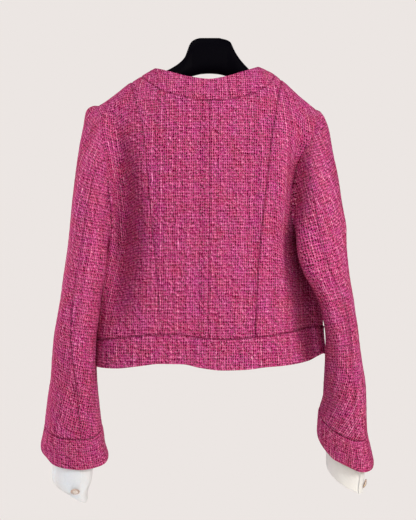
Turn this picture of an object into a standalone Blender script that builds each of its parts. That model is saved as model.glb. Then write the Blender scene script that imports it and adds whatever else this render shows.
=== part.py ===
"""Cropped tweed jacket, hollow as worn, on a thick moulded hanger.

Axes: +X to the left of someone facing the jacket's front, +Y out of the front, +Z up.
The origin is the middle of the top of the hanger's head.  Sizes in the tables are millimetres.
"""
import math

import bmesh
import bpy
from mathutils import Vector

MM = 0.001
BACK = -1
FRONT = 1
LEFT = -1
RIGHT = 1

TWEED_WALL = 2.2            # bonded boucle tweed
BAND_WALL = 2.8             # neckband and hem band, doubled cloth
POPLIN_WALL = 1.2           # fused shirt-cuff poplin
SEAM_GAP = 0.3              # between neighbouring pieces
HALF_DEPTH = 70.0           # centre back to the middle plane of the body
SHOULDER_ROUND = 150.0      # height over which the body reaches its full depth
BACK_SQUARENESS = 2.6       # superellipse exponent of the body's cross-section
ARMHOLE_HALF_DEPTH = 55.0
UNDERARM_AT = 0.41          # share of the way up the side edge
SHOULDER_POINT = {LEFT: -117.0, RIGHT: -123.0}
NECK_POINT = {LEFT: -116.5, RIGHT: 111.4}
NECK_SEAM_EASE = 0.3        # the band stands back this much more where its seam turns
FRONT_OPENING_TOP = 1.5     # half of the gap between the two fronts
FRONT_OPENING_HEM = 5.0

# Heights run upward in every table so that they can be read by height.
EDGE_COLUMNS = ("height", "left", "right")
BODY_EDGE = (
    (-560.0, -190.0, 196.5),
    (-525.0, -190.5, 195.0),
    (-491.0, -190.5, 190.0),
    (-464.0, -186.5, 187.5),
    (-430.0, -183.0, 178.0),
    (-396.0, -178.0, 164.0),
    (-360.0, -172.5, 155.0),
    (-345.0, -170.0, 151.5),
    (-314.0, -163.0, 148.0),
    (-281.0, -163.5, 148.5),
    (-245.0, -168.0, 152.0),
    (-206.0, -174.0, 160.0),
    (-167.0, -181.0, 175.0),
    (-117.0, -187.0, 183.0),
)

SEAM_COLUMNS = ("height", "left_princess", "centre_back", "right_princess")
BACK_SEAMS = (
    (-500.0, -82.0, -2.6, 75.0),
    (-440.0, -85.0, -2.0, 77.5),
    (-380.0, -90.0, -1.3, 81.0),
    (-340.0, -94.0, -1.0, 84.5),
    (-285.0, -99.0, 0.0, 90.0),
    (-225.0, -104.0, 0.0, 97.0),
    (-165.0, -110.0, 0.0, 103.5),
    (-137.0, -116.0, 0.0, 109.5),
    (-111.0, -124.0, 0.0, 114.0),
    (-80.0, -132.0, 0.0, 121.0),
)

RIDGE_COLUMNS = ("across", "height")
SHOULDER_RIDGE = (
    (-187.0, -117.0),
    (-152.0, -89.5),
    (-137.0, -78.0),
    (-119.0, -67.5),
    (-103.0, -57.5),
    (-91.5, -52.0),
    (-65.0, -47.5),
    (-30.0, -45.0),
    (0.0, -44.5),
    (30.0, -45.0),
    (60.0, -46.5),
    (82.0, -49.5),
    (94.0, -54.0),
    (109.0, -62.0),
    (128.0, -76.5),
    (154.0, -100.0),
    (183.0, -123.0),
)

BACK_NECK_SEAM = (
    (-116.5, -66.0),
    (-100.0, -81.0),
    (-83.0, -93.5),
    (-50.0, -105.0),
    (-16.0, -112.5),
    (15.0, -113.0),
    (60.0, -105.0),
    (85.0, -94.0),
    (104.0, -78.5),
    (111.4, -63.5),
)
BACK_NECK_EDGE = (
    (-91.5, -52.0),
    (-65.0, -61.0),
    (-36.0, -70.0),
    (0.0, -75.0),
    (26.0, -70.5),
    (53.0, -61.5),
    (75.0, -53.0),
    (82.0, -49.5),
)
FRONT_NECK_SEAM = (
    (-116.5, -66.0),
    (-105.0, -95.0),
    (-88.0, -125.0),
    (-55.0, -160.0),
    (-20.0, -178.0),
    (0.0, -181.0),
    (20.0, -178.0),
    (53.0, -160.0),
    (84.0, -124.0),
    (101.0, -94.0),
    (111.4, -63.5),
)
FRONT_NECK_EDGE = (
    (-91.5, -52.0),
    (-82.0, -76.0),
    (-66.0, -104.0),
    (-40.0, -129.0),
    (-15.0, -141.0),
    (0.0, -143.0),
    (15.0, -141.0),
    (38.0, -129.0),
    (62.0, -104.0),
    (75.0, -76.0),
    (82.0, -49.5),
)

HEM_COLUMNS = ("across", "back_seam", "back_edge", "front_seam", "front_edge")
HEM = (
    (-191.0, -512.0, -558.0, -512.0, -558.0),
    (-157.0, -508.0, -557.5, -513.0, -561.0),
    (-115.0, -502.5, -553.5, -514.0, -564.0),
    (-82.0, -500.5, -550.0, -514.0, -565.0),
    (-45.0, -501.0, -550.5, -513.5, -565.0),
    (-15.0, -506.0, -555.0, -513.0, -565.0),
    (20.0, -508.0, -559.0, -512.0, -564.0),
    (60.0, -506.0, -558.0, -509.0, -561.0),
    (95.0, -503.0, -553.5, -505.0, -556.0),
    (136.0, -498.0, -548.5, -499.0, -548.0),
    (169.0, -493.0, -543.0, -494.0, -541.0),
    (195.0, -489.5, -534.0, -489.5, -534.0),
)

# Soft vertical folds pressed into the cloth of the back; a negative depth stands out.
FOLD_COLUMNS = ("top", "bottom", "x_top", "x_middle", "x_bottom", "half_width", "depth")
BACK_FOLDS = (
    (-205.0, -440.0, -148.0, -129.0, -146.0, 15.0, 8.0),
    (-225.0, -400.0, -158.0, -151.0, -163.0, 9.0, -3.0),
    (-300.0, -470.0, 118.0, 122.0, 128.0, 22.0, 3.0),
)

# Cross-sections of the sleeves, from just under the arm to the hem of the cuff band.
SLEEVE_COLUMNS = ("height", "across", "forward", "half_width", "half_depth",
                  "tilt_forward", "tilt_side", "turn")
SLEEVE = {
    LEFT: (
        (-410.0, -211.0, -30.0, 32.5, 49.0, 0.0, 0.0, 12.0),
        (-440.0, -215.5, -32.0, 33.0, 48.0, 1.0, 0.0, 14.0),
        (-470.0, -219.5, -30.0, 34.5, 46.0, 3.0, 1.0, 12.0),
        (-505.0, -225.5, -24.0, 35.5, 45.0, 8.0, 1.0, 5.0),
        (-540.0, -228.5, -13.0, 37.0, 44.0, 13.0, 2.0, -2.0),
        (-575.0, -230.5, 0.0, 39.0, 44.0, 18.0, 3.0, -8.0),
        (-612.0, -233.5, 16.0, 43.5, 44.0, 22.0, 4.0, -14.0),
        (-664.0, -236.0, 40.0, 50.0, 44.0, 27.0, 5.0, -17.0),
        (-689.0, -236.0, 51.0, 54.5, 44.0, 31.0, 6.0, -17.0),
        (-714.0, -235.0, 63.0, 59.0, 44.0, 35.0, 6.5, -17.0),
    ),
    RIGHT: (
        (-410.0, 201.0, -30.0, 33.5, 49.0, 0.0, 0.0, 4.0),
        (-440.0, 209.5, -32.0, 29.5, 48.0, 1.0, 1.0, 14.0),
        (-470.0, 215.5, -30.0, 26.5, 47.0, 3.0, 2.0, 20.0),
        (-505.0, 221.0, -24.0, 26.5, 46.0, 9.0, 4.0, 22.0),
        (-540.0, 224.5, -12.0, 29.5, 45.0, 14.0, 7.0, 22.0),
        (-575.0, 227.5, 2.0, 34.0, 45.0, 19.0, 11.0, 21.0),
        (-612.0, 229.5, 18.0, 38.5, 45.0, 24.0, 17.0, 20.0),
        (-658.0, 231.5, 43.0, 46.0, 45.0, 30.0, 23.0, 19.0),
        (-682.0, 235.0, 55.0, 50.5, 45.5, 34.0, 25.0, 19.0),
        (-706.0, 238.5, 68.0, 55.0, 46.0, 38.0, 26.0, 19.0),
    ),
}
CAP_STEPS = (0.0, 0.05, 0.12, 0.22, 0.34, 0.48, 0.64, 0.82, 1.0)
CUFF_SEAM_ROW = 7           # row of the sleeve table where the cuff band is sewn on
ELBOW_SEAM = 5              # columns of the sleeve, counted from under the arm round the back
FRONT_SEAM = 16
CAP_RISE_UNDER = 26.0       # how far the cloth stands away where it leaves the armhole
CAP_RISE_TOP = {LEFT: 145.0, RIGHT: 100.0}

# Poplin cuffs, from the seam inside the sleeve down to the free edge.
SHIRT_COLUMNS = ("height", "across", "forward", "half_width", "half_depth",
                 "tilt_forward", "tilt_side")
SHIRT_CUFF = {
    LEFT: (
        (-667.0, -236.0, 41.0, 44.5, 39.0, 27.0, 5.0),
        (-695.0, -240.0, 53.0, 39.5, 31.0, 27.0, 11.0),
        (-722.0, -241.0, 62.0, 39.0, 30.0, 27.0, 18.0),
        (-748.0, -241.0, 70.0, 38.0, 30.0, 28.0, 26.0),
        (-774.0, -240.0, 76.0, 35.5, 30.0, 28.0, 34.0),
    ),
    RIGHT: (
        (-661.0, 231.5, 45.0, 41.0, 39.0, 29.0, 23.0),
        (-690.0, 235.5, 58.0, 38.0, 31.0, 29.0, 24.0),
        (-715.0, 237.0, 68.0, 38.5, 30.0, 30.0, 27.0),
        (-738.0, 238.0, 76.0, 39.5, 30.0, 32.0, 31.0),
        (-760.0, 238.5, 82.0, 40.0, 30.0, 34.0, 35.0),
    ),
}
SHIRT_LAP_EDGE = {LEFT: 62.0, RIGHT: 150.0}
SHIRT_LAP = 34.0            # degrees of overlap of the cuff's two ends
SHIRT_STEPS = 24
SHIRT_LAP_RISE = 1.7
BUTTON_RADIUS = 7.2
BUTTON_DOWN = 0.5           # share of the way down the last band of the cuff
BUTTON_RIM = 1.5
BUTTON_HEIGHT = 3.2
STONE_RISE = 1.8

# Hanger cross-sections along its length: a flat-topped rounded bar.
HANGER_COLUMNS = ("across", "top", "bottom", "half_depth")
HANGER = (
    (-176.0, -122.0, -137.0, 9.0),
    (-172.0, -117.0, -141.0, 14.0),
    (-160.0, -106.0, -139.0, 17.0),
    (-135.0, -87.0, -124.0, 18.0),
    (-110.0, -71.5, -107.0, 17.0),
    (-90.0, -61.5, -93.0, 16.0),
    (-73.0, -55.6, -83.0, 15.0),
    (-62.0, -50.0, -77.0, 14.5),
    (-50.0, -40.5, -71.5, 14.0),
    (-42.0, -31.0, -69.0, 13.5),
    (-38.0, -20.0, -67.5, 13.0),
    (-34.5, -9.0, -66.5, 12.5),
    (-29.0, -4.2, -65.0, 12.0),
    (-22.0, -1.4, -63.0, 12.0),
    (-15.0, 0.0, -61.5, 12.0),
    (0.0, 0.0, -60.5, 12.0),
    (15.0, 0.0, -61.5, 12.0),
    (22.0, -1.4, -63.0, 12.0),
    (29.0, -4.2, -65.0, 12.0),
    (34.5, -9.0, -66.5, 12.5),
    (38.0, -20.0, -67.5, 13.0),
    (42.0, -30.0, -69.0, 13.5),
    (50.0, -40.0, -71.5, 14.0),
    (60.0, -49.0, -77.0, 14.5),
    (70.0, -55.5, -83.0, 15.0),
    (88.0, -62.5, -93.0, 16.0),
    (107.0, -73.0, -107.0, 17.0),
    (131.0, -90.0, -126.0, 18.0),
    (154.0, -110.0, -143.0, 17.0),
    (167.0, -122.0, -145.0, 14.0),
    (172.0, -128.0, -142.0, 9.0),
)
HANGER_SQUARENESS = 2.6
HANGER_POINTS = 12

TORSO_ROWS = (0.0, 0.09, 0.18, 0.265, 0.345)
ARMHOLE_ROWS = (1.0, 0.92, 0.82, 0.68, 0.54, 0.41, 0.29, 0.185, 0.095, 0.03, 0.0)
# Columns between the middle of a face and the neck point, as shares of the way.
NECK_SHARES = {BACK: (0.0, 0.18, 0.36, 0.53, 0.69, 0.82, 0.91, 0.965, 1.0),
               FRONT: (0.0, 0.27, 0.52, 0.73, 0.87, 0.95, 0.985, 1.0)}
FLANK_PARTS = {BACK: (0.17, 0.34, 0.5, 0.65, 0.79, 0.91, 1.0),
               FRONT: (0.2, 0.4, 0.58, 0.75, 0.89, 1.0)}


def lerp(low, high, share):
    return low + (high - low) * share


def column_of(table, column):
    """The first column of a table with one other column, as pairs."""
    return tuple((row[0], row[column]) for row in table)


def smooth(pairs, position):
    """Cubic through the pairs, flat beyond its ends and never beyond its neighbours."""
    if position <= pairs[0][0]:
        return pairs[0][1]
    if position >= pairs[-1][0]:
        return pairs[-1][1]
    index = 0
    while pairs[index + 1][0] < position:
        index += 1
    span = pairs[index + 1][0] - pairs[index][0]
    share = (position - pairs[index][0]) / span
    start = slope_at(pairs, index) * span
    end = slope_at(pairs, index + 1) * span
    low = pairs[index][1]
    high = pairs[index + 1][1]
    square = share * share
    cube = square * share
    return ((2 * cube - 3 * square + 1) * low + (cube - 2 * square + share) * start
            + (3 * square - 2 * cube) * high + (cube - square) * end)


def slope_at(pairs, index):
    """Limited slope of the smooth curve at one of its pairs."""
    slopes = []
    for first in (index - 1, index):
        if 0 <= first < len(pairs) - 1:
            rise = pairs[first + 1][1] - pairs[first][1]
            slopes.append(rise / (pairs[first + 1][0] - pairs[first][0]))
    if len(slopes) == 1:
        return slopes[0]
    if slopes[0] * slopes[1] <= 0.0:
        return 0.0
    return 2.0 * slopes[0] * slopes[1] / (slopes[0] + slopes[1])


def edge_x(side, height):
    return smooth(column_of(BODY_EDGE, 1 if side == LEFT else 2), height)


def princess_x(side, height):
    return smooth(column_of(BACK_SEAMS, 1 if side == LEFT else 3), height)


def centre_x(height):
    return smooth(column_of(BACK_SEAMS, 2), height)


def ridge_height(across):
    return smooth(SHOULDER_RIDGE, across)


def fold_offset(across, height):
    """How far the folds of the back push its surface inward."""
    offset = 0.0
    for top, bottom, x_top, x_middle, x_bottom, half_width, depth in BACK_FOLDS:
        if bottom < height < top:
            way = (top - height) / (top - bottom)
            path = ((0.0, x_top), (0.5, x_middle), (1.0, x_bottom))
            away = (across - smooth(path, way)) / half_width
            fade = math.sin(math.pi * way)
            offset += depth * fade * math.exp(-away * away)
    return offset


def armhole_depth(side, height):
    """Half depth of the armhole opening at a height, nothing outside it."""
    top = SHOULDER_POINT[side]
    low = underarm_height(side)
    if not low < height < top:
        return 0.0
    way = (top - height) / (top - low)
    return ARMHOLE_HALF_DEPTH * math.sin(math.pi * way) ** 0.7


def underarm_height(side):
    hem = HEM[0][1] if side == LEFT else HEM[-1][1]
    return lerp(hem, SHOULDER_POINT[side], UNDERARM_AT)


class Column:
    """One line of the body running from the hem to the neck or shoulder."""

    def __init__(self, face, side, flank, part):
        self.face = face
        self.side = side
        self.flank = flank
        self.part = part
        self.hem_edge = self.settle(-540.0, self.hem_edge_height)
        self.hem_seam = self.settle(-500.0, self.hem_seam_height)
        self.top = self.settle(-110.0, self.top_height)

    def settle(self, height, rule):
        for _ in range(40):
            height = rule(self.across(height)[0])
        return height

    def hem_seam_height(self, across):
        return smooth(column_of(HEM, 1 if self.face == BACK else 3), across)

    def hem_edge_height(self, across):
        return smooth(column_of(HEM, 2 if self.face == BACK else 4), across)

    def on_neck(self):
        return not self.flank and self.part < 0.99

    def top_height(self, across):
        if not self.on_neck():
            return ridge_height(across)
        seam = BACK_NECK_SEAM if self.face == BACK else FRONT_NECK_SEAM
        return smooth(seam, across)

    def across(self, height):
        """Position across the body, and how much of its depth is left there."""
        middle = centre_x(height) if self.face == BACK else 0.0
        half = abs(edge_x(self.side, height) - middle)
        seam = abs(princess_x(self.side, height) - middle) / half
        power = BACK_SQUARENESS
        if self.flank:
            angle = (1.0 - self.part) * math.acos(seam ** (power / 2.0))
            share = math.cos(angle) ** (2.0 / power)
            depth = math.sin(angle) ** (2.0 / power)
        else:
            share = seam * self.part
            depth = (1.0 - share ** power) ** (1.0 / power)
        return middle + self.side * half * share, depth

    def opening(self, height):
        """The fronts stop short of each other."""
        if self.face == BACK or self.flank or self.part > 0.0:
            return 0.0
        way = (height + 540.0) / 400.0
        return self.side * lerp(FRONT_OPENING_HEM, FRONT_OPENING_TOP, min(max(way, 0.0), 1.0))

    def point(self, height):
        across, share = self.across(height)
        drop = max(ridge_height(across) - height, 0.0)
        round_off = 1.0 - min(drop / SHOULDER_ROUND, 1.0)
        full = HALF_DEPTH * math.sqrt(max(1.0 - round_off * round_off, 0.0))
        edge = min(armhole_depth(self.side, height), full)
        depth = edge + (full - edge) * share
        if self.face == BACK:
            depth -= fold_offset(across, height) * share
        across += self.opening(height)
        return Vector((across, self.face * depth, height))


def body_columns(face, side):
    """Columns from the middle of a face to the side seam."""
    neck_part = NECK_POINT[side] / princess_x(side, SHOULDER_POINT[LEFT] / 2.0)
    middle = [Column(face, side, False, neck_part * share) for share in NECK_SHARES[face]]
    middle.append(Column(face, side, False, 1.0))
    flank = [Column(face, side, True, part) for part in FLANK_PARTS[face]]
    return middle + flank


def body_heights(column):
    shares = list(TORSO_ROWS)
    for step in ARMHOLE_ROWS:
        shares.append(1.0 - (1.0 - UNDERARM_AT) * step)
    return [lerp(column.hem_seam, column.top, share) for share in shares]


def normal_from(along, up, face_side):
    return along.cross(up).normalized() * face_side


def grid_normals(points, turned, ring=False):
    """Normals of a grid of points; turned is +1 or -1 and picks the outside."""
    rows = len(points)
    columns = len(points[0])
    normals = []
    for row in range(rows):
        line = []
        for column in range(columns):
            before = max(column - 1, 0)
            after = min(column + 1, columns - 1)
            if ring:
                before = (column - 1) % columns
                after = (column + 1) % columns
            along = points[row][after] - points[row][before]
            up = points[min(row + 1, rows - 1)][column] - points[max(row - 1, 0)][column]
            line.append(normal_from(along, up, turned))
        normals.append(line)
    return normals


def border_step(point, inner, before, after):
    """Move off the border that leaves half a seam gap measured square to it."""
    step = (inner - point).normalized()
    border = (after - before).normalized()
    square = max(step.cross(border).length, 0.3)
    return step * (SEAM_GAP / 2.0 / square)


def pulled_in(points, ring=False):
    """The grid with its borders moved in by half a seam gap."""
    rows = len(points)
    columns = len(points[0])
    result = [[point.copy() for point in row] for row in points]
    for column in range(columns):
        before = (column - 1) % columns if ring else max(column - 1, 0)
        after = (column + 1) % columns if ring else min(column + 1, columns - 1)
        for edge, inner in ((0, 1), (rows - 1, rows - 2)):
            result[edge][column] += border_step(points[edge][column], points[inner][column],
                                                points[edge][before], points[edge][after])
    if ring:
        return result
    for row in range(rows):
        below = max(row - 1, 0)
        above = min(row + 1, rows - 1)
        for edge, inner in ((0, 1), (columns - 1, columns - 2)):
            result[row][edge] += border_step(points[row][edge], points[row][inner],
                                             points[below][edge], points[above][edge])
    return result


def wall_object(name, material, points, normals, wall, ring=False, outward=0.0):
    """A closed cloth wall between the grid and its copy one wall inside."""
    rows = len(points)
    columns = len(points[0])
    mesh = bpy.data.meshes.new(name)
    build = bmesh.new()
    outer = []
    inner = []
    for row in range(rows):
        outer.append([build.verts.new((points[row][c] + normals[row][c] * outward) * MM)
                      for c in range(columns)])
        inner.append([build.verts.new((points[row][c] - normals[row][c] * (wall - outward)) * MM)
                      for c in range(columns)])
    steps = columns if ring else columns - 1
    for row in range(rows - 1):
        for column in range(steps):
            after = (column + 1) % columns
            build.faces.new((outer[row][column], outer[row][after],
                             outer[row + 1][after], outer[row + 1][column]))
            build.faces.new((inner[row][after], inner[row][column],
                             inner[row + 1][column], inner[row + 1][after]))
    for column in range(steps):
        after = (column + 1) % columns
        build.faces.new((outer[0][after], outer[0][column], inner[0][column], inner[0][after]))
        build.faces.new((outer[-1][column], outer[-1][after], inner[-1][after], inner[-1][column]))
    if not ring:
        for row in range(rows - 1):
            build.faces.new((outer[row][0], outer[row + 1][0], inner[row + 1][0], inner[row][0]))
            build.faces.new((outer[row + 1][-1], outer[row][-1], inner[row][-1], inner[row + 1][-1]))
    return finish_object(name, material, mesh, build)


def finish_object(name, material, mesh, build, sharp=35.0):
    bmesh.ops.triangulate(build, faces=build.faces[:], quad_method="SHORT_EDGE")
    bmesh.ops.recalc_face_normals(build, faces=build.faces[:])
    build.to_mesh(mesh)
    build.free()
    mesh.shade_smooth()
    mesh.set_sharp_from_angle(angle=math.radians(sharp))
    mesh.materials.append(material)
    item = bpy.data.objects.new(name, mesh)
    bpy.context.scene.collection.objects.link(item)
    return item


def plain_material(name, colour, roughness, metallic=0.0, coat=0.0):
    material = bpy.data.materials.new(name)
    material.use_nodes = True
    shader = material.node_tree.nodes["Principled BSDF"]
    shader.inputs["Base Color"].default_value = (*colour, 1.0)
    shader.inputs["Roughness"].default_value = roughness
    shader.inputs["Metallic"].default_value = metallic
    shader.inputs["Coat Weight"].default_value = coat
    material.diffuse_color = (*colour, 1.0)
    return material


def build_body(tweed):
    """Back, front, hem and neck pieces; returns the armhole edges by side."""
    grids = {}
    for face in (BACK, FRONT):
        for side in (LEFT, RIGHT):
            columns = body_columns(face, side)
            grids[face, side] = columns
    for side, word in ((LEFT, "left"), (RIGHT, "right")):
        split = len(NECK_SHARES[BACK])
        add_panel("back_centre_" + word, tweed, grids[BACK, side][:split + 1], side)
        add_panel("back_side_" + word, tweed, grids[BACK, side][split:], side)
        add_panel("front_" + word, tweed, grids[FRONT, side], side)
    add_hem_bands(tweed, grids)
    add_neckband(tweed, grids)
    armholes = {}
    for side in (LEFT, RIGHT):
        armholes[side] = armhole_loop(grids[BACK, side][-1], grids[FRONT, side][-1])
    return armholes


def column_points(columns, heights_of):
    lines = [[column.point(height) for height in heights_of(column)] for column in columns]
    return [list(row) for row in zip(*lines)]


def column_normals(columns, heights_of):
    """Outward normals measured on the surface itself a hair to either side."""
    lines = []
    for column in columns:
        line = []
        for height in heights_of(column):
            line.append(surface_normal(column, height))
        lines.append(line)
    return [list(row) for row in zip(*lines)]


def shifted(column, step):
    """The same column moved a little across the body."""
    moved = Column.__new__(Column)
    moved.face = column.face
    moved.side = column.side
    moved.flank = column.flank
    moved.part = column.part + step
    return moved


def surface_normal(column, height):
    small = 0.002
    across = column.across(height)[0]
    if column.flank and column.part > 1.0 - small:
        along = Vector((0.0, -column.face, 0.0))
    else:
        lower = shifted(column, -small if column.part > small else 0.0)
        upper = shifted(column, small)
        along = (upper.point(height) - lower.point(height)) * column.side
    up_height = min(height + 0.5, ridge_height(across) - 0.001)
    low_height = min(height - 0.5, up_height - 0.3)
    up = column.point(up_height) - column.point(low_height)
    if ridge_height(across) - height < 0.01:
        slope = ridge_height(across + 0.5) - ridge_height(across - 0.5)
        return Vector((-slope, 0.0, 1.0)).normalized()
    if column.flank and column.part > 1.0 - small:
        normal = along.cross(up).normalized()
        return normal if normal.x * column.side > 0.0 else -normal
    normal = along.cross(up).normalized()
    return normal if normal.y * column.face > 0.0 else -normal


def add_panel(name, material, columns, side):
    points = column_points(columns, body_heights)
    normals = column_normals(columns, body_heights)
    wall_object(name, material, pulled_in(points), normals, TWEED_WALL)


def hem_heights(column):
    return [lerp(column.hem_edge, column.hem_seam, share) for share in (0.0, 0.5, 1.0)]


def add_hem_bands(material, grids):
    back = list(reversed(grids[BACK, LEFT])) + grids[BACK, RIGHT][1:]
    pieces = (("hem_band_back", back), ("hem_band_front_left", grids[FRONT, LEFT]),
              ("hem_band_front_right", grids[FRONT, RIGHT]))
    for name, columns in pieces:
        points = column_points(columns, hem_heights)
        normals = column_normals(columns, hem_heights)
        wall_object(name, material, pulled_in(points), normals, BAND_WALL, outward=0.4)


def neck_edge_point(column):
    """Where the line of a column leaves the garment at the neck edge."""
    across = column.across(column.top)[0]
    reach = NECK_POINT[column.side]
    corner = SHOULDER_NECK_CORNER[column.side]
    table = BACK_NECK_EDGE if column.face == BACK else FRONT_NECK_EDGE
    moved = across / reach * corner
    return moved, smooth(table, moved)


SHOULDER_NECK_CORNER = {LEFT: -91.5, RIGHT: 82.0}


def neck_line(column):
    """Points of the neckband from its seam to the neck edge, along one column."""
    base = column.across(column.top)[0]
    edge_across, edge_height = neck_edge_point(column)
    line = []
    for share in (0.0, 0.34, 0.67, 1.0):
        across = lerp(base, edge_across, share)
        height = lerp(column.top, edge_height, share)
        line.append(neck_surface(column, across, height))
    return line


def neck_surface(column, across, height):
    drop = max(ridge_height(across) - height, 0.0)
    round_off = 1.0 - min(drop / SHOULDER_ROUND, 1.0)
    full = HALF_DEPTH * math.sqrt(max(1.0 - round_off * round_off, 0.0))
    middle = centre_x(height) if column.face == BACK else 0.0
    share = min(abs(across - middle) / abs(edge_x(column.side, height) - middle), 1.0)
    depth = full * (1.0 - share ** BACK_SQUARENESS) ** (1.0 / BACK_SQUARENESS)
    opening = column.opening(height)
    return Vector((across + opening, column.face * depth, height))


def add_neckband(material, grids):
    """One strip round the neck, from the centre front round the back."""
    front_last = len(NECK_SHARES[FRONT]) - 1
    back_last = len(NECK_SHARES[BACK])
    left_front = grids[FRONT, LEFT][:front_last]
    left_back = list(reversed(grids[BACK, LEFT][:back_last]))
    right_back = grids[BACK, RIGHT][1:back_last]
    right_front = list(reversed(grids[FRONT, RIGHT][:front_last]))
    strip = left_front + left_back + right_back + right_front
    lines = [neck_line(column) for column in strip]
    points = [list(row) for row in zip(*lines)]
    normals = grid_normals(points, 1.0)
    lowest = [surface_normal(column, column.top) for column in strip]
    normals[0] = lowest
    strip_points = pulled_in(points)
    for low, high in zip(strip_points[0], strip_points[1]):
        low += (high - low).normalized() * NECK_SEAM_EASE
    wall_object("neckband", material, strip_points, normals, BAND_WALL, outward=0.4)


def armhole_loop(back, front):
    """Edge of the armhole from under the arm, up the back and down the front."""
    rows = body_heights(back)[len(TORSO_ROWS):]
    rise = [back.point(height) for height in rows]
    fall = [front.point(height) for height in reversed(rows)]
    return rise + fall[1:-1]


def ring_point(row, side, angle):
    """A point of a sleeve section; the angle runs from the body round the back."""
    height, across, forward, half_width, half_depth, lean, tip = row[:7]
    inward = -side * math.cos(angle)
    backward = -math.sin(angle)
    lean = math.radians(lean)
    tip = math.radians(tip)
    x = half_width * inward
    y = half_depth * backward
    drop = x * math.sin(tip)
    return Vector((across + x * math.cos(tip), forward + y * math.cos(lean),
                   height - drop + y * math.sin(lean)))


def sleeve_grid(side, armhole):
    """Rows of sleeve points from the armhole to the hem of the cuff band."""
    count = len(armhole)
    table = SLEEVE[side]
    start = [point + Vector((side * SEAM_GAP, 0.0, 0.0)) for point in armhole]
    rows = []
    for share in CAP_STEPS:
        rows.append([cap_point(side, table, start, index, count, share)
                     for index in range(count)])
    for section in table[1:]:
        turn = math.radians(section[7])
        rows.append([ring_point(section, side, math.tau * index / count + turn)
                     for index in range(count)])
    return rows


def cap_point(side, table, start, index, count, share):
    """The cloth leaves the armhole sideways and settles into the hanging sleeve."""
    around = math.tau * index / count
    end = ring_point(table[0], side, around + math.radians(table[0][7]))
    after = ring_point(table[1], side, around + math.radians(table[1][7]))
    top = (1.0 - math.cos(around)) / 2.0
    reach = lerp(CAP_RISE_UNDER, CAP_RISE_TOP[side], top)
    away = Vector((side * 1.0, -0.42 * math.sin(around), 0.18 * (1.0 - top))).normalized() * reach
    down = (after - end).normalized() * (end - start[index]).length
    square = share * share
    cube = square * share
    return (start[index] * (2 * cube - 3 * square + 1) + away * (cube - 2 * square + share)
            + end * (3 * square - 2 * cube) + down * (cube - square))


def add_sleeve(side, word, armhole, tweed):
    rows = sleeve_grid(side, armhole)
    turned = 1.0 if side == LEFT else -1.0
    normals = grid_normals(rows, turned, ring=True)
    seam = len(CAP_STEPS) - 1 + CUFF_SEAM_ROW
    count = len(rows[0])
    upper = list(range(ELBOW_SEAM, FRONT_SEAM + 1))
    under = [index % count for index in range(FRONT_SEAM, count + ELBOW_SEAM + 1)]
    for label, picks in (("sleeve_upper_", upper), ("sleeve_under_", under)):
        points = [[row[index] for index in picks] for row in rows[:seam + 1]]
        facing = [[row[index] for index in picks] for row in normals[:seam + 1]]
        wall_object(label + word, tweed, pulled_in(points), facing, TWEED_WALL)
    band = pulled_in(rows[seam:], ring=True)
    wall_object("cuff_band_" + word, tweed, band, normals[seam:], BAND_WALL, ring=True, outward=0.4)


def shirt_cuff_grid(side):
    """A poplin strip wound once round the wrist, its free end lapped on top."""
    span = math.tau + math.radians(SHIRT_LAP)
    first = math.radians(SHIRT_LAP_EDGE[side] + SHIRT_LAP)
    clear = math.tau / span
    rows = []
    for section in SHIRT_CUFF[side]:
        line = []
        for step in range(SHIRT_STEPS + 1):
            way = step / SHIRT_STEPS
            rise = SHIRT_LAP_RISE * min(max((way - clear + 0.12) / 0.12, 0.0), 1.0)
            widened = (*section[:3], section[3] + rise, section[4] + rise, *section[5:])
            line.append(ring_point(widened, side, first - span * way))
        rows.append(line)
    return rows


def add_shirt_cuff(side, word, poplin):
    rows = shirt_cuff_grid(side)
    normals = grid_normals(rows, -1.0 if side == LEFT else 1.0)
    wall_object("shirt_cuff_" + word, poplin, rows, normals, POPLIN_WALL)
    return rows, normals


def add_button(side, word, rows, normals, metal, stone):
    """A cut stone in a turned rim, sitting on the lapped end of the cuff."""
    column = SHIRT_STEPS - 1
    seat = rows[-2][column].lerp(rows[-1][column], BUTTON_DOWN)
    facing = (normals[-2][column] + normals[-1][column]).normalized()
    profile = ((0.0, 0.3), (BUTTON_RADIUS - 0.6, 0.3), (BUTTON_RADIUS, 1.0),
               (BUTTON_RADIUS, BUTTON_HEIGHT - 0.6), (BUTTON_RADIUS - 0.6, BUTTON_HEIGHT),
               (BUTTON_RADIUS - BUTTON_RIM, BUTTON_HEIGHT - 0.3),
               (BUTTON_RADIUS - BUTTON_RIM - 1.2, BUTTON_HEIGHT + STONE_RISE * 0.6),
               (0.0, BUTTON_HEIGHT + STONE_RISE))
    turned_part("cuff_button_" + word, metal, profile, seat, facing, 20)


def turned_part(name, material, profile, seat, facing, steps):
    mesh = bpy.data.meshes.new(name)
    build = bmesh.new()
    spin = facing.to_track_quat("Z", "Y")
    rings = []
    for radius, height in profile:
        count = 1 if radius == 0.0 else steps
        ring = []
        for step in range(count):
            angle = math.tau * step / steps
            spot = Vector((radius * math.cos(angle), radius * math.sin(angle), height))
            ring.append(build.verts.new((seat + spin @ spot) * MM))
        rings.append(ring)
    for low, high in zip(rings, rings[1:]):
        for step in range(steps):
            after = (step + 1) % steps
            if len(low) == 1:
                build.faces.new((low[0], high[after], high[step]))
            elif len(high) == 1:
                build.faces.new((low[step], low[after], high[0]))
            else:
                build.faces.new((low[step], low[after], high[after], high[step]))
    return finish_object(name, material, mesh, build)


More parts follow.
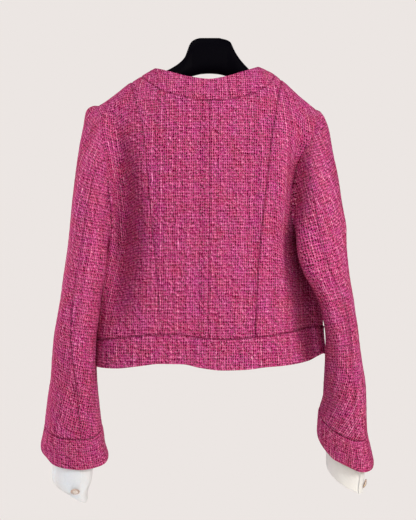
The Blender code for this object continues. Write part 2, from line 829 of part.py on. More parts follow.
def hanger_section(row):
    """Rounded bar section with a flat top and softly rounded lower edges."""
    across, top, bottom, half_depth = row
    middle = (top + bottom) / 2.0
    half_height = (top - bottom) / 2.0
    points = []
    for step in range(HANGER_POINTS):
        angle = math.tau * (step + 0.5) / HANGER_POINTS
        power = 2.0 / HANGER_SQUARENESS
        y = math.copysign(abs(math.cos(angle)) ** power, math.cos(angle)) * half_depth
        z = math.copysign(abs(math.sin(angle)) ** power, math.sin(angle)) * half_height
        rise = half_height / (math.sin(math.tau * 2.5 / HANGER_POINTS) ** power * half_height)
        points.append(Vector((across, y, middle + min(max(z * rise, -half_height), half_height))))
    return points


def add_hanger(plastic):
    mesh = bpy.data.meshes.new("hanger")
    build = bmesh.new()
    rings = []
    for row in HANGER:
        rings.append([build.verts.new(point * MM) for point in hanger_section(row)])
    for low, high in zip(rings, rings[1:]):
        for step in range(HANGER_POINTS):
            after = (step + 1) % HANGER_POINTS
            build.faces.new((low[step], low[after], high[after], high[step]))
    build.faces.new(list(reversed(rings[0])))
    build.faces.new(rings[-1])
    return finish_object("hanger", plastic, mesh, build, sharp=50.0)


def main():
    for item in list(bpy.data.objects):
        bpy.data.objects.remove(item, do_unlink=True)
    tweed = plain_material("boucle_tweed", (0.46, 0.07, 0.18), 0.9)
    poplin = plain_material("cotton_poplin", (0.78, 0.75, 0.72), 0.75)
    metal = plain_material("gilt_brass", (0.72, 0.50, 0.22), 0.25, metallic=1.0)
    plastic = plain_material("moulded_plastic", (0.008, 0.008, 0.012), 0.35)
    armholes = build_body(tweed)
    for side, word in ((LEFT, "left"), (RIGHT, "right")):
        add_sleeve(side, word, armholes[side], tweed)
        rows, normals = add_shirt_cuff(side, word, poplin)
        add_button(side, word, rows, normals, metal, None)
    add_hanger(plastic)


main()
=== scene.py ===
# %% [markdown]
# # A cropped tweed jacket on a moulded hanger
# The jacket hangs empty on a wide hanger and is looked at from its back.  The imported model
# gives the frame: every piece below stands on one of its nodes, in metres, +Z up, with the
# back of the jacket towards -Y.  The cloth is worked out in millimetres and turned to metres
# when its mesh is made, because a cutter thinks in millimetres.

# %% Load the frame
import math

import bpy
import numpy as np
from mathutils import Matrix, Vector


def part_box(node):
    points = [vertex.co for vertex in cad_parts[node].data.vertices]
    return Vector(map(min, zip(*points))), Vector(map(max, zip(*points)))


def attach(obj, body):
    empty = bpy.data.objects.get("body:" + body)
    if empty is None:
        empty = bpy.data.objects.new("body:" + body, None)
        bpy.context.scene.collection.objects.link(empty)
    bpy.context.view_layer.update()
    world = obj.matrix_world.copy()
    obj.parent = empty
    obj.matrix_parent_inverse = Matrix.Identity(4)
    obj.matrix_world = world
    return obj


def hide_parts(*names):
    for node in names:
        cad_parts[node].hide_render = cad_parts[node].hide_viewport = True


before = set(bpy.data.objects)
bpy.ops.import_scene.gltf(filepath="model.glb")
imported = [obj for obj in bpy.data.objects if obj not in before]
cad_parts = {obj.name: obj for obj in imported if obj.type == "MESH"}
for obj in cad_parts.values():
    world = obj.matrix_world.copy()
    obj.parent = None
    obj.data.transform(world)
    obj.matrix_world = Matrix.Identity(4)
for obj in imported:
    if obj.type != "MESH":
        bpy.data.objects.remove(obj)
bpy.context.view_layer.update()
MM = 0.001
BACK, FRONT = -1, 1
LEFT, RIGHT = -1, 1
SIDES = ((LEFT, "left"), (RIGHT, "right"))
rng = np.random.default_rng(7)


# %% [markdown]
# ## Colours and nodes
# Paint and yarn colours are written as hex codes, the way a dye card lists them.  The
# light itself is counted in linear steps, so one function turns a hex code to linear.
# Another adds a shader node with its settings and links: a link is given as the node or
# socket it comes from, and a plain value is typed into the socket.  Sockets are given in
# order or by name, and a colour ramp is given its stops.

# %% Helpers for materials
def linear(code):
    """Linear RGBA of an sRGB hex colour."""
    parts = [int(code[i:i + 2], 16) / 255.0 for i in (1, 3, 5)]
    return tuple(c / 12.92 if c <= 0.04045 else ((c + 0.055) / 1.055) ** 2.4
                 for c in parts) + (1.0,)


def new_material(name):
    """An empty node material and its surface shader."""
    material = bpy.data.materials.new(name)
    material.use_nodes = True
    return material, material.node_tree.nodes["Principled BSDF"]


def connect(material, target, inputs):
    """Set sockets, in order or by name, each to a plain value or to what a node gives out."""
    named = inputs if isinstance(inputs, dict) else dict(enumerate(inputs))
    for key, value in named.items():
        if isinstance(value, bpy.types.Node):
            value = value.outputs[0]
        if isinstance(value, bpy.types.NodeSocket):
            material.node_tree.links.new(value, target.inputs[key])
        else:
            target.inputs[key].default_value = value


def node(material, kind, inputs=(), stops=(), **settings):
    """Add one node with its settings, its inputs and the stops of its colour ramp."""
    made = material.node_tree.nodes.new("ShaderNode" + kind)
    for name, value in settings.items():
        setattr(made, name, value)
    connect(material, made, inputs)
    if stops:
        points = made.color_ramp.elements
        while len(points) < len(stops):
            points.new(0.5)
        for point, (place, code) in zip(points, stops):
            point.position = place
            point.color = linear(code)
    return made


print("mid grey in linear light:", round(linear("#808080")[0], 3))


# %% [markdown]
# ## Camera
# The jacket is seen straight on from behind, from two metres away and from the height of
# its middle, with a longish lens, as a garment is shown in a catalogue.

# %% Camera
CAMERA_AT = (-0.0026, -2.0, -0.3774)
FRAME_WIDTH = 36.0              # mm
FOCAL_LENGTH = 101.77           # mm


def add_object(name, data):
    """Put a camera, lamp or mesh in the scene."""
    made = bpy.data.objects.new(name, data)
    bpy.context.scene.collection.objects.link(made)
    return made


camera_data = bpy.data.cameras.new("catalogue_camera")
camera_data.sensor_fit = "HORIZONTAL"
camera_data.sensor_width = FRAME_WIDTH
camera_data.lens = FOCAL_LENGTH
camera = add_object("catalogue_camera", camera_data)
camera.location = CAMERA_AT
camera.rotation_euler = (math.radians(90.0), 0.0, 0.0)
bpy.context.scene.camera = camera
bpy.context.scene.view_settings.view_transform = "Standard"
print("camera at", CAMERA_AT, "lens, mm:", FOCAL_LENGTH)


# %% [markdown]
# ## Studio
# The pale room is only the backdrop.  The light comes from soft boxes all round the jacket,
# so the cloth has soft form shadows and no hard edges: the strongest stand high in front to
# the right, behind, and to the left, and a weak one lies on the floor as a bounce card.  Two
# small lamps behind narrow grids reach only the white cuffs, one cool and one warm.  The
# floor is well below the jacket, as it is under a clothes rail.

# %% Floor, backdrop and soft boxes
ROOM = "#ECE6E3"
FLOOR_HEIGHT = -1.55            # m below the hanger's head
FLOOR_HALF = 2.6
FLOOR_CELLS = 8
LAMPS_AIM = (0.0, 0.0, -0.4)
GRIDDED_SIZE = (0.05, 0.05)
GRIDDED_SPREAD = math.radians(9.0)
# name, place, width and height, watts, colour
SOFT_BOXES = (
    ("key_soft_box", (2.1, -2.1, 0.7), (0.9, 0.9), 59.0, "#FFF7F0"),
    ("front_fill", (0.7, -2.8, 0.2), (1.4, 1.4), 28.0, "#FFF9F4"),
    ("top_soft_box", (-0.6, -0.9, 1.5), (1.4, 1.4), 15.5, "#FFFFFF"),
    ("left_soft_box", (-2.2, 0.3, 0.0), (1.4, 1.6), 41.0, "#FFF1EA"),
    ("right_soft_box", (2.3, -0.2, 0.2), (1.4, 1.6), 7.5, "#FFF6EC"),
    ("rear_soft_box", (0.5, 2.6, 0.3), (1.8, 1.8), 50.0, "#FFFAF5"),
    ("floor_bounce", (0.0, -0.6, -1.5), (2.4, 2.0), 4.0, "#FFF4EC"),
    ("low_fill", (-1.3, -1.7, -1.0), (0.6, 0.6), 2.4, "#E4EEFF"),
)
# name, place, aim, watts, colour
GRIDDED_LAMPS = (
    ("cool_cuff_lamp", (-1.1, -1.7, -1.0), (-0.23, 0.06, -0.81), 0.024, "#9EDCFF"),
    ("warm_cuff_lamp", (0.9, -1.9, -1.1), (0.24, 0.06, -0.82), 0.013, "#FFE080"),
)


def level_square(name, half, height):
    """A level square cut in rows of cells."""
    marks = FLOOR_CELLS + 1
    steps = np.linspace(-half, half, marks)
    spots = [(x, y, height) for y in steps for x in steps]
    firsts = [row * marks + column for row in range(FLOOR_CELLS) for column in range(FLOOR_CELLS)]
    mesh = bpy.data.meshes.new(name)
    mesh.from_pydata(spots, [], [(i, i + 1, i + 1 + marks, i + marks) for i in firsts])
    return add_object(name, mesh)


def soft_box(name, place, target, size, watts, colour):
    """A rectangular lamp aimed at a point."""
    data = bpy.data.lights.new(name, "AREA")
    data.shape = "RECTANGLE"
    data.size, data.size_y = size
    data.energy = watts
    data.color = linear(colour)[:3]
    lamp = add_object(name, data)
    lamp.location = place
    across, ahead, up = np.array(target) - np.array(place)
    lamp.rotation_euler = (math.atan2(math.hypot(across, ahead), -up), 0.0,
                           math.atan2(-across, ahead))
    return data


floor = level_square("studio_floor", FLOOR_HALF, FLOOR_HEIGHT)
painted, painted_shader = new_material("matt_painted_floor")
connect(painted, painted_shader, {"Base Color": linear("#DDD7D3"), "Roughness": 0.9})
floor.data.materials.append(painted)

world = bpy.data.worlds.new("pale_room")
bpy.context.scene.world = world
world.use_nodes = True
backdrop = world.node_tree.nodes["Background"]
backdrop.inputs["Color"].default_value = linear(ROOM)
backdrop.inputs["Strength"].default_value = 1.0
world.cycles_visibility.diffuse = False
world.cycles_visibility.glossy = False
for name, place, size, watts, colour in SOFT_BOXES:
    soft_box(name, place, LAMPS_AIM, size, watts, colour)
for name, place, aim, watts, colour in GRIDDED_LAMPS:
    soft_box(name, place, aim, GRIDDED_SIZE, watts, colour).spread = GRIDDED_SPREAD
print("lights:", [lamp.name for lamp in bpy.data.lights])


# %% [markdown]
# ## A smooth line through a tailor's measurements
# A pattern is a short list of measurements joined with a smooth line.  The line used here
# goes through every measurement and never swings past its neighbours, so a straight seam
# stays straight.  It works on a whole array of positions at once.

# %% Smooth lines
def column_of(table, column):
    """The first column of a table with one other column, as pairs."""
    return tuple((row[0], row[column]) for row in table)


def smooth(pairs, position):
    """Limited cubic through the pairs, flat beyond its ends."""
    x = np.array([pair[0] for pair in pairs], float)
    y = np.array([pair[1] for pair in pairs], float)
    rise = np.diff(y) / np.diff(x)
    slope = np.empty_like(y)
    slope[0], slope[-1] = rise[0], rise[-1]
    both = rise[:-1] * rise[1:]
    total = rise[:-1] + rise[1:]
    slope[1:-1] = np.where(both > 0.0, 2.0 * both / np.where(both > 0.0, total, 1.0), 0.0)
    place = np.clip(np.asarray(position, float), x[0], x[-1])
    index = np.clip(np.searchsorted(x, place, side="right") - 1, 0, len(x) - 2)
    span = x[index + 1] - x[index]
    t = (place - x[index]) / span
    t2, t3 = t * t, t * t * t
    return ((2 * t3 - 3 * t2 + 1) * y[index] + (t3 - 2 * t2 + t) * slope[index] * span
            + (3 * t2 - 2 * t3) * y[index + 1] + (t3 - t2) * slope[index + 1] * span)


def lerp(low, high, share):
    """The value a share of the way from low to high."""
    return low + (high - low) * share


def edged(length, step, fine=(0.4, 0.9, 1.5, 2.3, 3.3)):
    """Shares from 0 to 1 about a step apart, closer together along both edges."""
    near = np.array([0.0] + list(fine)) / length
    stride = step / length
    middle = np.arange(near[-1] + stride, 1.0 - near[-1] - 0.5 * stride, stride)
    return np.concatenate([near, middle, 1.0 - near[::-1]])


print("halfway between 0 and 2 on a smooth line:", smooth(((0, 0), (1, 1), (2, 4)), 0.5))


# %% [markdown]
# ## The jacket's measurements
# These are the measurements the cloth is cut and hung to, in millimetres.  Heights are
# below the top of the hanger's head.  Left and right are as seen from the back.

# %% Body measurements
HALF_DEPTH = 70.0               # centre back to the middle of the body
SHOULDER_ROUND = 150.0          # height over which the body reaches its full depth
SQUARENESS = 2.6                # how square the body's cross-section is
ARMHOLE_HALF_DEPTH = 55.0
UNDERARM_AT = 0.41              # share of the way up the side edge
SHOULDER_POINT = {LEFT: -117.0, RIGHT: -123.0}
NECK_POINT = {LEFT: -116.5, RIGHT: 111.4}
NECK_CORNER = {LEFT: -91.5, RIGHT: 82.0}
OPENING_TOP, OPENING_HEM = 1.5, 5.0          # how far each front stands off the middle
OPENING_LOW, OPENING_RISE = -540.0, 400.0    # where the opening starts to close, and over what
OPENING_SHARE = 0.27            # share of a front that leans out with its edge

# height, left edge, right edge
BODY_EDGE = (
    (-560.0, -193.0, 196.5), (-525.0, -193.5, 193.0), (-491.0, -192.0, 190.5),
    (-464.0, -188.5, 191.5), (-430.0, -186.0, 182.0), (-396.0, -181.5, 169.0),
    (-360.0, -177.0, 160.0), (-345.0, -174.5, 156.5), (-314.0, -166.0, 151.0),
    (-281.0, -163.5, 148.5), (-245.0, -168.0, 152.0), (-206.0, -174.0, 160.0),
    (-167.0, -181.0, 175.0), (-117.0, -187.0, 183.0),
)
# height, left princess seam, centre back seam, right princess seam
BACK_SEAMS = (
    (-500.0, -82.0, -2.6, 75.0), (-440.0, -85.0, -2.0, 77.5), (-380.0, -90.0, -1.3, 81.0),
    (-340.0, -94.0, -1.0, 84.5), (-285.0, -99.0, 0.0, 90.0), (-225.0, -104.0, 0.0, 97.0),
    (-165.0, -110.0, 0.0, 103.5), (-137.0, -116.0, 0.0, 109.5), (-111.0, -124.0, 0.0, 114.0),
    (-80.0, -132.0, 0.0, 121.0),
)
# across, height
SHOULDER_RIDGE = (
    (-187.0, -117.0), (-152.0, -89.5), (-137.0, -78.0), (-119.0, -67.5), (-103.0, -57.5),
    (-91.5, -52.0), (-65.0, -47.5), (-30.0, -45.0), (0.0, -44.5), (30.0, -45.0),
    (60.0, -46.5), (82.0, -49.5), (94.0, -54.0), (109.0, -62.0), (128.0, -76.5),
    (154.0, -100.0), (183.0, -123.0),
)
NECK_SEAM = {
    BACK: ((-116.5, -66.0), (-100.0, -81.0), (-83.0, -93.5), (-50.0, -105.0), (-16.0, -112.5),
           (15.0, -113.0), (60.0, -105.0), (85.0, -94.0), (104.0, -78.5), (111.4, -63.5)),
    FRONT: ((-116.5, -66.0), (-105.0, -95.0), (-88.0, -125.0), (-55.0, -160.0),
            (-20.0, -178.0), (0.0, -181.0), (20.0, -178.0), (53.0, -160.0), (84.0, -124.0),
            (101.0, -94.0), (111.4, -63.5)),
}
NECK_EDGE = {
    BACK: ((-91.5, -52.0), (-65.0, -61.0), (-36.0, -70.0), (0.0, -75.0), (26.0, -70.5),
           (53.0, -61.5), (75.0, -53.0), (82.0, -49.5)),
    FRONT: ((-91.5, -52.0), (-82.0, -76.0), (-66.0, -104.0), (-40.0, -129.0), (-15.0, -141.0),
            (0.0, -143.0), (15.0, -141.0), (38.0, -129.0), (62.0, -104.0), (75.0, -76.0),
            (82.0, -49.5)),
}
# across, back seam, back edge, front seam, front edge
HEM = (
    (-191.0, -512.0, -558.0, -512.0, -558.0), (-157.0, -508.0, -557.5, -512.0, -558.0),
    (-115.0, -502.5, -552.5, -510.0, -556.0), (-82.0, -500.5, -548.5, -509.0, -555.0),
    (-45.0, -501.0, -549.0, -509.0, -555.5), (-15.0, -506.0, -555.0, -511.0, -560.0),
    (20.0, -508.0, -559.0, -512.0, -563.0), (60.0, -506.0, -558.0, -509.0, -560.0),
    (95.0, -503.0, -554.0, -505.0, -555.0), (136.0, -498.0, -552.0, -499.0, -548.0),
    (169.0, -493.0, -549.0, -494.0, -541.0), (195.0, -489.5, -537.0, -489.5, -534.0),
)
print("measurement rows:", len(BODY_EDGE), len(BACK_SEAMS), len(HEM))


# %% [markdown]
# ## Folds
# Tweed is thick and springy, so it hangs in a few long soft folds rather than in wrinkles.
# Each row of the first table is one fold: where it starts and ends, the line it follows,
# how wide it is and how deep.  A negative depth stands out.  The back has the deep hollows
# of a jacket pulled down by its own sleeves, and the front has a few shallow ones.  Each
# row of the second table is a place where the weight of a sleeve, or the body pressing on
# it, draws the cloth aside, and it moves everything within reach, so seams stay shut.

# %% Folds of the body
# face, top, bottom, x at top, middle, bottom, half width, depth
BODY_FOLDS = (
    (BACK, -110.0, -500.0, -158.0, -148.0, -168.0, 27.0, 66.0),
    (BACK, -180.0, -720.0, 164.0, 177.0, 206.0, 29.0, 82.0),
    (BACK, -350.0, -720.0, 132.0, 148.0, 162.0, 28.0, 18.0),
    (BACK, -380.0, -700.0, -186.0, -194.0, -200.0, 15.0, 12.0),
    (BACK, -330.0, -700.0, -46.0, -40.0, -34.0, 26.0, 2.5),
    (BACK, -360.0, -720.0, 30.0, 38.0, 46.0, 22.0, -2.0),
    (FRONT, -190.0, -420.0, -150.0, -126.0, -132.0, 16.0, 6.0),
    (FRONT, -205.0, -450.0, 142.0, 118.0, 126.0, 15.0, 6.0),
    (FRONT, -330.0, -500.0, -60.0, -64.0, -70.0, 20.0, 3.0),
    (FRONT, -350.0, -505.0, 58.0, 66.0, 70.0, 18.0, 3.0),
)


def fold_offset(folds, across, height):
    """How far the folds push the cloth inward."""
    offset = np.zeros_like(height)
    for top, bottom, x_top, x_middle, x_bottom, half_width, depth in folds:
        way = np.clip((top - height) / (top - bottom), 0.0, 1.0)
        path = ((0.0, x_top), (0.5, x_middle), (1.0, x_bottom))
        away = (across - smooth(path, way)) / half_width
        offset += depth * np.sin(math.pi * way) * np.exp(-away * away)
    return offset


def folds_of(face):
    """The folds of the back or of the front."""
    return [row[1:] for row in BODY_FOLDS if row[0] == face]


# centre, reach and pull, each across, forward and up: the armholes and sides, then the
# sleeves, then their bands and cuffs
PULLS = (
    ((150.0, -55.0, -342.0), (34.0, 50.0, 50.0), (-15.0, -10.0, 0.0)),
    ((168.0, -60.0, -405.0), (24.0, 50.0, 50.0), (-4.0, -14.0, 0.0)),
    ((190.0, -60.0, -470.0), (14.0, 50.0, 50.0), (0.0, -8.0, 0.0)),
    ((158.0, -50.0, -250.0), (30.0, 60.0, 62.0), (-9.0, 0.0, 0.0)),
    ((154.0, -50.0, -236.0), (14.0, 60.0, 66.0), (0.0, 24.0, 0.0)),
    ((156.0, -50.0, -282.0), (13.0, 60.0, 34.0), (0.0, 12.0, 0.0)),
    ((166.0, -60.0, -380.0), (20.0, 60.0, 30.0), (-4.5, 0.0, 0.0)),
    ((-168.0, -50.0, -362.0), (22.0, 50.0, 58.0), (10.0, -12.0, 0.0)),
    ((-174.0, -50.0, -290.0), (14.0, 50.0, 95.0), (0.0, 7.0, 0.0)),
    ((-201.0, 0.0, -123.0), (18.0, 70.0, 22.0), (-6.5, 0.0, 3.5)),
    ((-212.0, 0.0, -228.0), (18.0, 70.0, 60.0), (2.5, 0.0, 0.0)),
    ((206.0, 0.0, -198.0), (18.0, 70.0, 34.0), (-3.0, 0.0, 0.0)),
    ((-246.0, -20.0, -400.0), (25.0, 60.0, 45.0), (-3.0, 0.0, 0.0)),
    ((238.0, -30.0, -318.0), (25.0, 60.0, 26.0), (4.5, 0.0, 0.0)),
    ((252.0, -20.0, -480.0), (28.0, 60.0, 90.0), (3.5, 0.0, 0.0)),
    ((268.0, 0.0, -590.0), (20.0, 60.0, 60.0), (3.5, 0.0, 0.0)),
    ((198.0, -10.0, -590.0), (20.0, 60.0, 40.0), (3.0, 0.0, 0.0)),
    ((190.0, -10.0, -618.0), (18.0, 60.0, 18.0), (7.5, 0.0, 0.0)),
    ((236.0, 70.0, -716.0), (60.0, 60.0, 22.0), (2.0, 0.0, -3.0)),
    ((254.0, 82.0, -780.0), (22.0, 60.0, 20.0), (-3.0, 0.0, 5.0)),
    ((-222.0, 62.0, -797.0), (10.0, 60.0, 12.0), (2.0, 0.0, -3.0)),
    ((-207.0, 62.0, -788.0), (10.0, 60.0, 16.0), (-6.0, 0.0, 0.0)),
    ((-266.0, 66.0, -766.0), (24.0, 60.0, 26.0), (-8.0, 0.0, -2.0)),
    ((-292.0, 45.0, -700.0), (12.0, 60.0, 14.0), (-2.5, 0.0, 0.0)),
    ((-284.0, 60.0, -722.0), (12.0, 60.0, 12.0), (3.0, 0.0, 2.0)),
    ((-176.0, 50.0, -700.0), (12.0, 60.0, 16.0), (-3.0, 0.0, 0.0)),
    ((-196.0, 70.0, -741.0), (20.0, 60.0, 10.0), (0.0, 0.0, 3.0)),
    ((207.0, 60.0, -722.0), (14.0, 60.0, 10.0), (0.0, 0.0, -3.0)),
    ((258.0, 75.0, -745.0), (14.0, 60.0, 9.0), (0.0, 0.0, -2.5)),
)


def pulled(points):
    """Cloth drawn to one side in a few places, body and sleeve together."""
    moved = points.copy()
    for centre, reach, pull in PULLS:
        away = (points - np.array(centre)) / np.array(reach)
        moved += np.exp(-(away ** 2).sum(axis=-1, keepdims=True)) * np.array(pull)
    return moved


print("folds:", len(BODY_FOLDS), "pulls:", len(PULLS))


# %% [markdown]
# ## The surface of the body
# The body is a tube of cloth: its back and front are each a fan of lines that run from the
# hem up to the neck or the shoulder.  A line is named by its side, by whether it lies
# between the centre and the princess seam or beyond it, and by how far across that part it
# is.  Cross-sections are superellipses that close up towards the shoulder's ridge.

# %% Body surface
HEM_EDGE_GUESS, HEM_SEAM_GUESS, TOP_GUESS = -540.0, -500.0, -110.0
SETTLING_STEPS = 40


def edge_x(side, height):
    """Place across of the body's side edge."""
    return smooth(column_of(BODY_EDGE, 1 if side == LEFT else 2), height)


def princess_x(side, height):
    """Place across of the princess seam."""
    return smooth(column_of(BACK_SEAMS, 1 if side == LEFT else 3), height)


def centre_x(face, height):
    """Place across of the centre back seam, or of the middle of the front."""
    if face == FRONT:
        return np.zeros_like(height)
    return smooth(column_of(BACK_SEAMS, 2), height)


def ridge_height(across):
    """Height of the shoulder's ridge."""
    return smooth(SHOULDER_RIDGE, across)


def across_body(face, side, flank, part, height):
    """Position across, and the share of the body's depth that is left there."""
    middle = centre_x(face, height)
    half = np.abs(edge_x(side, height) - middle)
    seam = np.abs(princess_x(side, height) - middle) / half
    angle = (1.0 - part) * np.arccos(seam ** (SQUARENESS / 2.0))
    share = np.where(flank, np.cos(angle) ** (2.0 / SQUARENESS), seam * part)
    depth = np.where(flank, np.sin(angle) ** (2.0 / SQUARENESS),
                     (1.0 - (seam * part) ** SQUARENESS) ** (1.0 / SQUARENESS))
    return middle + side * half * share, depth


def underarm_height(side):
    """Height of the lowest point of the armhole."""
    return lerp(HEM[0][1] if side == LEFT else HEM[-1][1], SHOULDER_POINT[side], UNDERARM_AT)


def armhole_depth(side, height):
    """How far the armhole's edge stands from the middle of the body."""
    top, low = SHOULDER_POINT[side], underarm_height(side)
    way = np.clip((top - height) / (top - low), 0.0, 1.0)
    return ARMHOLE_HALF_DEPTH * np.sin(math.pi * way) ** 0.7


def full_depth(across, height):
    """Depth of the body at its middle, closing up towards the shoulder's ridge."""
    round_off = 1.0 - np.clip((ridge_height(across) - height) / SHOULDER_ROUND, 0.0, 1.0)
    return HALF_DEPTH * np.sqrt(np.maximum(1.0 - round_off ** 2, 0.0))


def body_form(face, side, flank, part, height):
    """Points of the body's cloth as it is cut and folded."""
    across, share = across_body(face, side, flank, part, height)
    full = full_depth(across, height)
    edge = np.minimum(armhole_depth(side, height), full)
    depth = edge + (full - edge) * share
    depth -= fold_offset(folds_of(face), across, height) * np.sqrt(share)
    if face == FRONT:
        way = np.clip((height - OPENING_LOW) / OPENING_RISE, 0.0, 1.0)
        near = np.where(flank, 0.0, np.clip(1.0 - part / OPENING_SHARE, 0.0, 1.0))
        across = across + side * lerp(OPENING_HEM, OPENING_TOP, way) * near
    return np.stack([across, face * depth, height], axis=-1)


def body_surface(face, side, flank, part, height):
    """Points of the body's cloth before its seams are pressed in."""
    return pulled(body_form(face, side, flank, part, height))


def settle(face, side, flank, part, guess, rule):
    """Height at which each line meets a border that is given by its place across."""
    level = np.full(part.shape, guess)
    for _ in range(SETTLING_STEPS):
        level = rule(across_body(face, side, flank, part, level)[0])
    return level


def body_borders(face, side, flank, part):
    """Hem edge, hem seam and top of each line."""
    seam, edge = (1, 2) if face == BACK else (3, 4)
    hem_edge = settle(face, side, flank, part, HEM_EDGE_GUESS,
                      lambda x: smooth(column_of(HEM, edge), x))
    hem_seam = settle(face, side, flank, part, HEM_SEAM_GUESS,
                      lambda x: smooth(column_of(HEM, seam), x))
    neck = settle(face, side, flank, part, TOP_GUESS, lambda x: smooth(NECK_SEAM[face], x))
    ridge = settle(face, side, flank, part, TOP_GUESS, ridge_height)
    on_neck = ~flank & (part <= neck_part(side) + 1e-6)
    return hem_edge, hem_seam, np.where(on_neck, neck, ridge)


def neck_part(side):
    """Where the neck point falls between the centre and the princess seam."""
    return NECK_POINT[side] / float(princess_x(side, SHOULDER_POINT[LEFT] / 2.0))


print("neck points at", round(neck_part(LEFT), 3), round(neck_part(RIGHT), 3))


# %% [markdown]
# ## From a grid of points to a wall of cloth
# Every cut piece becomes a thin closed wall: the grid of points moved out by a little, its
# copy moved in, and a rim between them.  Where a piece is sewn to its neighbour the cloth
# rolls down into the seam; where it is turned under it has a rounded folded edge.  The
# distance to each edge is measured along the cloth, so both look alike on every piece.
# Seams differ in how deep they draw: a curved one pulls harder than a pressed straight one,
# and where ease is sewn in, as at the armhole, there is hardly a groove.

# %% Seams and edges
SEWN, NECKLINE, DRAWN, SHAPED, PRESSED = "sewn", "neckline", "drawn", "shaped", "pressed_seam_shade"
EASED, TURNED = "eased", "turned"
# How far cloth rolls down into each kind of seam, over what width, and how dark the shade
# painted beside it is.
SEAM_ROLL = {SEWN: (2.5, 2.0, 1.6), NECKLINE: (1.4, 1.6, 1.5), DRAWN: (1.7, 1.6, 1.6),
             SHAPED: (1.4, 1.5, 1.0), PRESSED: (0.9, 1.3, 0.6), EASED: (0.0, 2.4, 0.15)}
INNER_ROLL = 0.55               # share of the roll that the inner skin takes
TURN_REACH, TURN_SHARE = 0.8, 0.49      # a turned edge's length and half height, in walls


def along(points, axis):
    """Length along the cloth from its first edge."""
    steps = np.linalg.norm(np.diff(points, axis=axis), axis=2)
    start = np.zeros_like(np.take(steps, [0], axis=axis))
    return np.concatenate([start, np.cumsum(steps, axis=axis)], axis=axis)


def grid_normals(points, outside, ring=False):
    """Unit normals of a grid, turned to the outside, and whether they had to be turned."""
    if ring:
        across = np.roll(points, -1, axis=1) - np.roll(points, 1, axis=1)
    else:
        across = np.gradient(points, axis=1)
    normals = np.cross(across, np.gradient(points, axis=0))
    normals /= np.maximum(np.linalg.norm(normals, axis=2, keepdims=True), 1e-9)
    turned = float(np.sum(normals * outside)) < 0.0
    return (-normals if turned else normals), turned


def edge_profile(kind, distance, wall):
    """How far the outer and the inner skin move towards each other by an edge."""
    if kind in SEAM_ROLL:
        depth, width, _ = SEAM_ROLL[kind]
        roll = depth * np.exp(-(distance / width) ** 2)
        return roll, -INNER_ROLL * roll
    near = np.clip(1.0 - distance / (TURN_REACH * wall), 0.0, 1.0)
    turn = TURN_SHARE * wall * (1.0 - np.sqrt(1.0 - near ** 2))
    return turn, turn


print("depth of a sewn seam, mm:", edge_profile(SEWN, 0.0, 2.2)[0])


# %% [markdown]
# ## Nap and weave coordinates
# Bulky yarns leave the cloth a little uneven, so its skin is moved by a few dozen slow
# waves that depend only on the place: pieces that meet move together and no gap opens.
# Weave coordinates say where each point lies on the flat cloth, so that the material can
# draw yarns at their real spacing.  They are measured along the cloth, in millimetres.

# %% Nap and weave coordinates
NAP_RELIEF = 0.22               # unevenness of the bulky yarns, mm
NAP_COUNT = 36
NAP_LENGTHS = (7.0, 16.0)       # mm
nap_waves = rng.normal(size=(NAP_COUNT, 3))
nap_waves *= ((math.tau / rng.uniform(*NAP_LENGTHS, (NAP_COUNT, 1)))
              / np.linalg.norm(nap_waves, axis=1, keepdims=True))
nap_phases = rng.uniform(0.0, math.tau, NAP_COUNT)


def uneven(points):
    """A gentle unevenness about -1 to 1 that depends only on the place."""
    return 4.0 * np.sin(points @ nap_waves.T + nap_phases).sum(axis=-1) / NAP_COUNT


def weave_of(points, start=0.0, column=0, fan=False):
    """Weave coordinates, mm: level picks, and ends that hang straight or fan out."""
    if fan:
        width = along(points, 1)[points.shape[0] // 2]
        u = np.broadcast_to(width - width[column], points.shape[:2])
        return np.stack([u + start, along(points, 0)], axis=-1)
    level = points * np.array([1.0, 1.0, 0.0])
    width = along(level, 1)
    return np.stack([width - width[:, column][:, None] + start,
                     along(points, 0) + points[0, :, 2]], axis=-1)


print("unevenness at the middle of the back:", uneven(np.array([0.0, -70.0, -300.0])).round(2))


# %% [markdown]
# ## Making the wall
# The wall is made in one go from the grid: quads for the outer skin, the same quads turned
# over for the inner one, and a strip round the rim.  It also notes how far each point's colour
# is darkened beside a seam, as painted shade in the seam's hollow, and the size the piece was
# cut to.

# %% Cloth walls
TWEED_WALL, BAND_WALL = 2.2, 2.8
CLOTH_STEP = 2.6                # spacing of the grids, about half a weft of the tweed
SEAM_SHADE_REACH = 1.5             # mm from a seam over which its painted shade reaches
NAP_CALM = 3.0                  # mm from an edge over which the unevenness dies away
pieces = {}
cloth_facts = {}


def wall_faces(rows, columns):
    """Quads of the outer skin, of the inner skin and of the rim between them."""
    index = np.arange(rows * columns).reshape(rows, columns)
    outer = np.stack([index[:-1, :-1], index[:-1, 1:], index[1:, 1:], index[1:, :-1]], axis=-1)
    outer = outer.reshape(-1, 4)
    rim = np.concatenate([index[0, :], index[1:, -1], index[-1, -2::-1], index[-2:0:-1, 0]])
    after = np.roll(rim, -1)
    border = np.stack([after, rim, rim + rows * columns, after + rows * columns], axis=-1)
    return np.concatenate([outer, outer[:, ::-1] + rows * columns, border])


def cut_area(points):
    """Area of a grid of cloth, from the diagonals of its cells."""
    cells = np.cross(points[1:, 1:] - points[:-1, :-1], points[:-1, 1:] - points[1:, :-1])
    return 0.5 * float(np.linalg.norm(cells, axis=2).sum())


